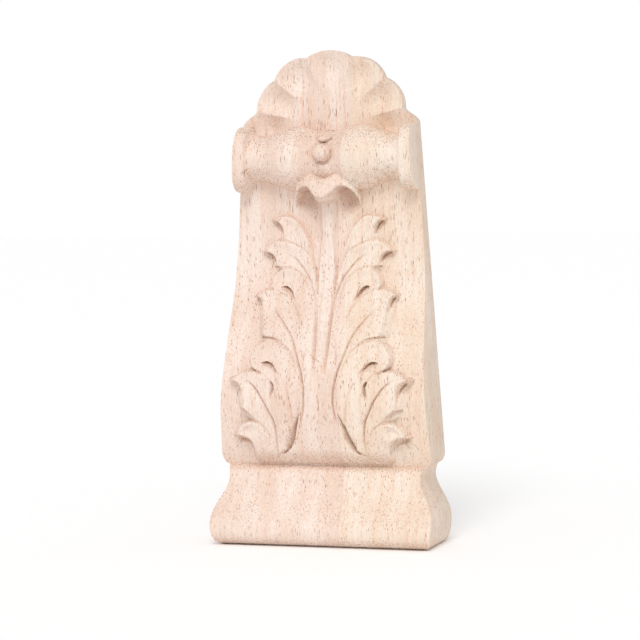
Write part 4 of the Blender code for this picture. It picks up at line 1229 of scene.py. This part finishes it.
@dataclass(frozen=True)
class HandSanding:
    """Slight waves that sanding leaves on the carved front, made by a Geometry Nodes tree."""

    wave_length: float = 7.0     # mm
    wave_height: float = 0.12
    seed: float = 12.0
    plain_back: float = 2.0      # no waves this close to the back or the floor

    def tree(self) -> bpy.types.NodeTree:
        """The node tree: moves points along their normals by a noise, less near the back and the floor.

        Returns:
            The Geometry Nodes tree.
        """
        tree = bpy.data.node_groups.new("hand_sanding", "GeometryNodeTree")
        numbers = ("Wave Length", "Wave Height", "Seed", "Plain Depth", "Back")
        sockets = [("Geometry", "NodeSocketGeometry"), *((name, "NodeSocketFloat") for name in numbers),
                   ("Finish", "NodeSocketMaterial")]
        for name, kind in sockets:
            tree.interface.new_socket(name=name, in_out="INPUT", socket_type=kind)
        tree.interface.new_socket(name="Geometry", in_out="OUTPUT", socket_type="NodeSocketGeometry")
        given = add(tree, "NodeGroupInput").outputs
        place = add(tree, "GeometryNodeInputPosition")
        part = add(tree, "ShaderNodeSeparateXYZ", (place,)).outputs
        scale = add(tree, "ShaderNodeMath", (1.0, given["Wave Length"]), operation="DIVIDE")
        noise = add(tree, "ShaderNodeTexNoise", {
            "Vector": place, "W": given["Seed"], "Detail": 1.0, "Scale": scale}, noise_dimensions="4D")
        wave = add(tree, "ShaderNodeMapRange", {"Value": noise, "To Min": -1.0, "To Max": 1.0})
        from_back = add(tree, "ShaderNodeMath", (given["Back"], part["Y"]), operation="SUBTRACT")
        nearer = add(tree, "ShaderNodeMath", (from_back, part["Z"]), operation="MINIMUM")
        kept = add(tree, "ShaderNodeMapRange", {"Value": nearer, "From Max": given["Plain Depth"]},
                   interpolation_type="SMOOTHSTEP")
        height = add(tree, "ShaderNodeMath", (given["Wave Height"], kept), operation="MULTIPLY")
        moved = add(tree, "ShaderNodeMath", (height, wave), operation="MULTIPLY")
        normal = add(tree, "GeometryNodeInputNormal")
        offset = add(tree, "ShaderNodeVectorMath", {0: normal, "Scale": moved}, operation="SCALE")
        waved = add(tree, "GeometryNodeSetPosition", {"Geometry": given["Geometry"], "Offset": offset})
        real = add(tree, "GeometryNodeRealizeInstances", (waved,))
        finished = add(tree, "GeometryNodeSetMaterial", {0: real, "Material": given["Finish"]})
        add(tree, "NodeGroupOutput", (finished,))
        return tree

    def sanded(self, mesh: bpy.types.Mesh, finish: bpy.types.Material, back_y: float) -> bpy.types.Mesh:
        """The mesh with the waves on it and its finish set.

        Args:
            mesh: the closed block.
            finish: its material.
            back_y: place of the flat back, in metres.

        Returns:
            The new mesh.
        """
        block = bpy.data.objects.new("unsanded", mesh)
        bpy.context.scene.collection.objects.link(block)
        waves = block.modifiers.new("sanding", "NODES")
        waves.node_group = self.tree()
        values = {
            "Wave Length": self.wave_length * MM, "Wave Height": self.wave_height * MM, "Seed": self.seed,
            "Plain Depth": self.plain_back * MM, "Back": back_y, "Finish": finish}
        for socket in waves.node_group.interface.items_tree:
            if socket.in_out == "INPUT" and socket.name in values:
                waves[socket.identifier] = values[socket.name]
        graph = bpy.context.evaluated_depsgraph_get()
        result = bpy.data.meshes.new_from_object(block.evaluated_get(graph))
        bpy.data.objects.remove(block)
        return result


@dataclass(frozen=True)
class CarvedBlock:
    """The block itself: outline, moulding, roll, shell, beads, curl and stalk in one relief."""

    outline: BlockOutline = BlockOutline()
    moulding: Moulding = Moulding()
    roll: TurnedRoll = TurnedRoll()
    shell: ScallopShell = ScallopShell()
    beads: BeadDrop = BeadDrop()
    curl: LeafCurl = LeafCurl()
    stalk: AcanthusStalk = AcanthusStalk()
    sanding: HandSanding = HandSanding()
    roll_shadow: float = 1.0     # how far under its flange the roll may stand over the panel
    cell: float = 0.30           # spacing of the relief's points
    triangles: int = 92000       # on one half of the front
    edge_snap: float = 0.2       # points this close to the middle or the floor lie on it
    middle_merge: float = 0.001  # points of the two halves this close are joined
    back_arris: float = 0.3      # edge sanded off round the back
    sharp_angle: float = 50.0    # degrees between faces that meet in a sharp edge

    def front_depth(self, x: Field, z: Field) -> Field:
        """Depth of the carved front over the flat back at each place.

        Args:
            x: places across.
            z: places up.

        Returns:
            The depths.
        """
        x = np.abs(x)
        panel = self.moulding.panel_depth(z)
        carved = self.stalk.over(x, z, panel) - self.curl.hollow(x, z)
        foot = self.moulding.foot_depth(z, self.outline.depth)
        depth = np.where(z < self.outline.crease_z, foot, carved)
        turned = self.roll.depth(x, z)
        fluted = self.shell.depth(x, z, self.outline)
        upper = np.where(z > self.roll.z, np.maximum(turned, fluted), np.maximum(turned, carved))
        depth = np.where(z > self.roll.z - self.roll.flange_radius - self.roll_shadow, upper, depth)
        depth = self.beads.over(x, z, depth, self.roll)
        return np.maximum(depth, self.curl.depth(x, z))

    def spaced_places(self, edge: list[tuple[float, float]]) -> list[tuple[float, float]]:
        """Points inside the right half: along the carving's sharp lines, and evenly between them.

        Args:
            edge: the half's outline.

        Returns:
            The points, x and z.
        """
        row_gap = self.cell * math.sqrt(3) / 2
        grid = np.array([
            (x + self.cell / 2 * (row % 2), z)
            for row, z in enumerate(np.arange(row_gap, self.outline.height, row_gap))
            for x in np.arange(self.cell / 2, self.outline.bulge_half, self.cell)])
        creases = self.stalk.creases(self.cell)
        _, first = np.unique(np.round(creases / (self.cell / 2)), axis=0, return_index=True)
        creases = creases[np.sort(first)]
        tree = KDTree(len(creases))
        for number, (x, z) in enumerate(creases):
            tree.insert((x, z, 0.0), number)
        tree.balance()
        spaced = [tree.find((x, z, 0.0))[2] > self.cell / 2 for x, z in grid]
        inner = np.vstack([creases, grid[spaced]])
        clear = inside_by(inner[:, 0], inner[:, 1], np.array(edge)) > self.cell / 2
        return [tuple(place) for place in inner[clear]]

    def front_sheet(self) -> bpy.types.Mesh:
        """Mesh of the right half of the carved front, open all round.

        Returns:
            The mesh, in metres.
        """
        edge = self.outline.edge(self.cell)
        loop = [(k, (k + 1) % len(edge)) for k in range(len(edge))]
        places = edge + self.spaced_places(edge)
        verts, _, faces, _, _, _ = delaunay_2d_cdt(places, loop, [], INSIDE_ONLY, SAME_PLACE)
        flat = np.array([tuple(v) for v in verts])
        depth = self.front_depth(flat[:, 0], flat[:, 1])
        back_y = self.outline.depth / 2
        mesh = bpy.data.meshes.new("front_sheet")
        mesh.from_pydata([(x * MM, (back_y - d) * MM, z * MM) for (x, z), d in zip(flat, depth)], [], faces)
        return mesh

    def thinned(self, mesh: bpy.types.Mesh) -> bpy.types.Mesh:
        """The same sheet with fewer triangles where it is plain.

        Args:
            mesh: the sheet, which is left as it is.

        Returns:
            The thinned mesh.
        """
        sheet = bpy.data.objects.new("sheet", mesh)
        bpy.context.scene.collection.objects.link(sheet)
        thin = sheet.modifiers.new("thin", "DECIMATE")
        thin.ratio = min(1.0, self.triangles / len(mesh.polygons))
        graph = bpy.context.evaluated_depsgraph_get()
        result = bpy.data.meshes.new_from_object(sheet.evaluated_get(graph))
        bpy.data.objects.remove(sheet)
        return result

    def closed(self, sheet: bpy.types.Mesh) -> bpy.types.Mesh:
        """The whole block: the sheet with its side wall and flat back, mirrored about the middle.

        Args:
            sheet: the right half of the front.

        Returns:
            The closed mesh.
        """
        bm = bmesh.new()
        bm.from_mesh(sheet)
        snap = self.edge_snap * MM
        for vert in (v for v in bm.verts if v.is_boundary):
            if vert.co.x < snap:
                vert.co.x = 0.0
            if vert.co.z < snap:
                vert.co.z = 0.0
        back_y = self.outline.depth / 2 * MM
        edges = [e for e in bm.edges if e.is_boundary and any(v.co.x > 0 for v in e.verts)]
        for level in (back_y - self.back_arris * MM, back_y):
            wall = bmesh.ops.extrude_edge_only(bm, edges=edges)
            ring = [item for item in wall["geom"] if isinstance(item, bmesh.types.BMVert)]
            for vert in ring:
                vert.co.y = level
            edges = [item for item in wall["geom"] if isinstance(item, bmesh.types.BMEdge)
                     and all(abs(v.co.y - level) < SMALL for v in item.verts)]
        self.draw_in(ring, edges)
        ends = [v for v in ring if v.co.x == 0.0]
        edges.append(bm.edges.new(ends))
        bmesh.ops.contextual_create(bm, geom=edges)
        everything = bm.verts[:] + bm.edges[:] + bm.faces[:]
        bmesh.ops.mirror(bm, geom=everything, axis="X", merge_dist=self.middle_merge * MM)
        bmesh.ops.recalc_face_normals(bm, faces=bm.faces)
        mesh = bpy.data.meshes.new("carved_front")
        bm.to_mesh(mesh)
        bm.free()
        return mesh

    def draw_in(self, ring: list[bmesh.types.BMVert], edges: list[bmesh.types.BMEdge]) -> None:
        """Moves the back's outline in by the arris, square to the outline.

        Args:
            ring: points of the back's outline.
            edges: the edges between them.
        """
        inward = {vert: Vector((0.0, 0.0)) for vert in ring}
        centre = Vector((0.0, self.outline.hinge_z / 2 * MM))
        for edge in edges:
            a, b = (Vector((vert.co.x, vert.co.z)) for vert in edge.verts)
            run = b - a
            side = Vector((-run.y, run.x)).normalized()
            if side.dot(centre - (a + b) / 2) < 0:
                side = -side
            for vert in edge.verts:
                inward[vert] += side
        for vert, way in inward.items():
            way = way.normalized() * self.back_arris * MM
            vert.co.x = max(0.0, vert.co.x + way.x) if vert.co.x > 0 else 0.0
            vert.co.z += way.y

    def build(self, finish: BareRubberwood) -> bpy.types.Object:
        """Makes the block as an object with its finish, in the place of the CAD node.

        Args:
            finish: the wood.

        Returns:
            The block.
        """
        mesh = self.closed(self.thinned(self.front_sheet()))
        mesh = self.sanding.sanded(mesh, finish.material(), self.outline.depth / 2 * MM)
        mesh.shade_smooth()
        mesh.set_sharp_from_angle(angle=math.radians(self.sharp_angle))
        block = bpy.data.objects.new("carved_applique", mesh)
        bpy.context.scene.collection.objects.link(block)
        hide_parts(NODE)
        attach(block, "root")
        return block


@dataclass(frozen=True)
class Studio:
    """Pale floor, soft lights and the camera."""

    azimuth: float = 19.11        # camera's place about the block, degrees
    elevation: float = 3.88
    roll: float = -1.32
    distance: float = 774.2       # mm from the target
    target: tuple[float, float, float] = (-2.86, 2.45, 72.58)
    lens: float = 134.0           # mm
    sensor: float = 36.0          # mm across
    key_azimuth: float = 10.0     # the lamp's place, degrees
    key_elevation: float = 50.0
    key_strength: float = 1.28
    key_softness: float = 28.0    # the lamp's width, degrees
    surround_strength: float = 0.71
    floor_size: float = 6000.0    # mm

    def camera(self) -> bpy.types.Object:
        """The camera at the photograph's angle.

        Returns:
            The camera.
        """
        a, e, r = (math.radians(v) for v in (self.azimuth, self.elevation, self.roll))
        back = Vector((math.sin(a) * math.cos(e), -math.cos(a) * math.cos(e), math.sin(e)))
        right = Vector((math.cos(a), math.sin(a), 0))
        up = back.cross(right)
        turned_right = math.cos(r) * right + math.sin(r) * up
        turned_up = -math.sin(r) * right + math.cos(r) * up
        data = bpy.data.cameras.new("camera")
        data.lens = self.lens
        data.sensor_width = self.sensor
        camera = bpy.data.objects.new("camera", data)
        place = (Vector(self.target) + back * self.distance) * MM
        rotation = Matrix((turned_right, turned_up, back)).transposed().to_4x4()
        camera.matrix_world = Matrix.Translation(place) @ rotation
        bpy.context.scene.collection.objects.link(camera)
        bpy.context.scene.camera = camera
        return camera

    def key(self) -> bpy.types.Object:
        """Soft key light from above, in front and a little to the right.

        Returns:
            The lamp.
        """
        data = bpy.data.lights.new("key", "SUN")
        data.energy = self.key_strength
        data.angle = math.radians(self.key_softness)
        lamp = bpy.data.objects.new("key", data)
        a, e = math.radians(self.key_azimuth), math.radians(self.key_elevation)
        aim = Vector((-math.sin(a) * math.cos(e), math.cos(a) * math.cos(e), -math.sin(e)))
        lamp.rotation_euler = aim.to_track_quat("-Z", "Y").to_euler()
        bpy.context.scene.collection.objects.link(lamp)
        return lamp

    def surround(self) -> bpy.types.World:
        """White surround: seen as pure white, and lighting the block softly from all sides.

        Returns:
            The world.
        """
        world = bpy.data.worlds.new("studio")
        world.use_nodes = True
        tree = world.node_tree
        seen = add(tree, "ShaderNodeLightPath").outputs["Is Camera Ray"]
        strength = add(tree, "ShaderNodeMapRange", {
            "Value": seen, "To Min": self.surround_strength, "To Max": 1.0})
        background = tree.nodes["Background"]
        background.inputs["Color"].default_value = (1, 1, 1, 1)
        tree.links.new(strength.outputs[0], background.inputs["Strength"])
        bpy.context.scene.world = world
        bpy.context.scene.view_settings.view_transform = "Standard"
        return world

    def floor(self, finish: MattPaper) -> bpy.types.Object:
        """The floor that the block stands on.

        Args:
            finish: its paper.

        Returns:
            The floor.
        """
        bpy.ops.mesh.primitive_plane_add(size=self.floor_size * MM, location=(0, 0, 0))
        floor = bpy.context.object
        floor.name = "floor"
        floor.data.materials.append(finish.material())
        return floor


def main() -> None:
    """Builds the studio and the block in it, and logs each."""
    logging.basicConfig(level=logging.INFO, format="%(name)s: %(message)s")
    studio = Studio()
    log.info("floor: %s", studio.floor(MattPaper()).name)
    log.info("surround: %s", studio.surround().name)
    log.info("lamp: %s", studio.key().name)
    log.info("camera: %s", studio.camera().name)
    block = CarvedBlock().build(BareRubberwood())
    log.info("%s: %d faces", block.name, len(block.data.polygons))


if __name__ == "__main__":
    main()
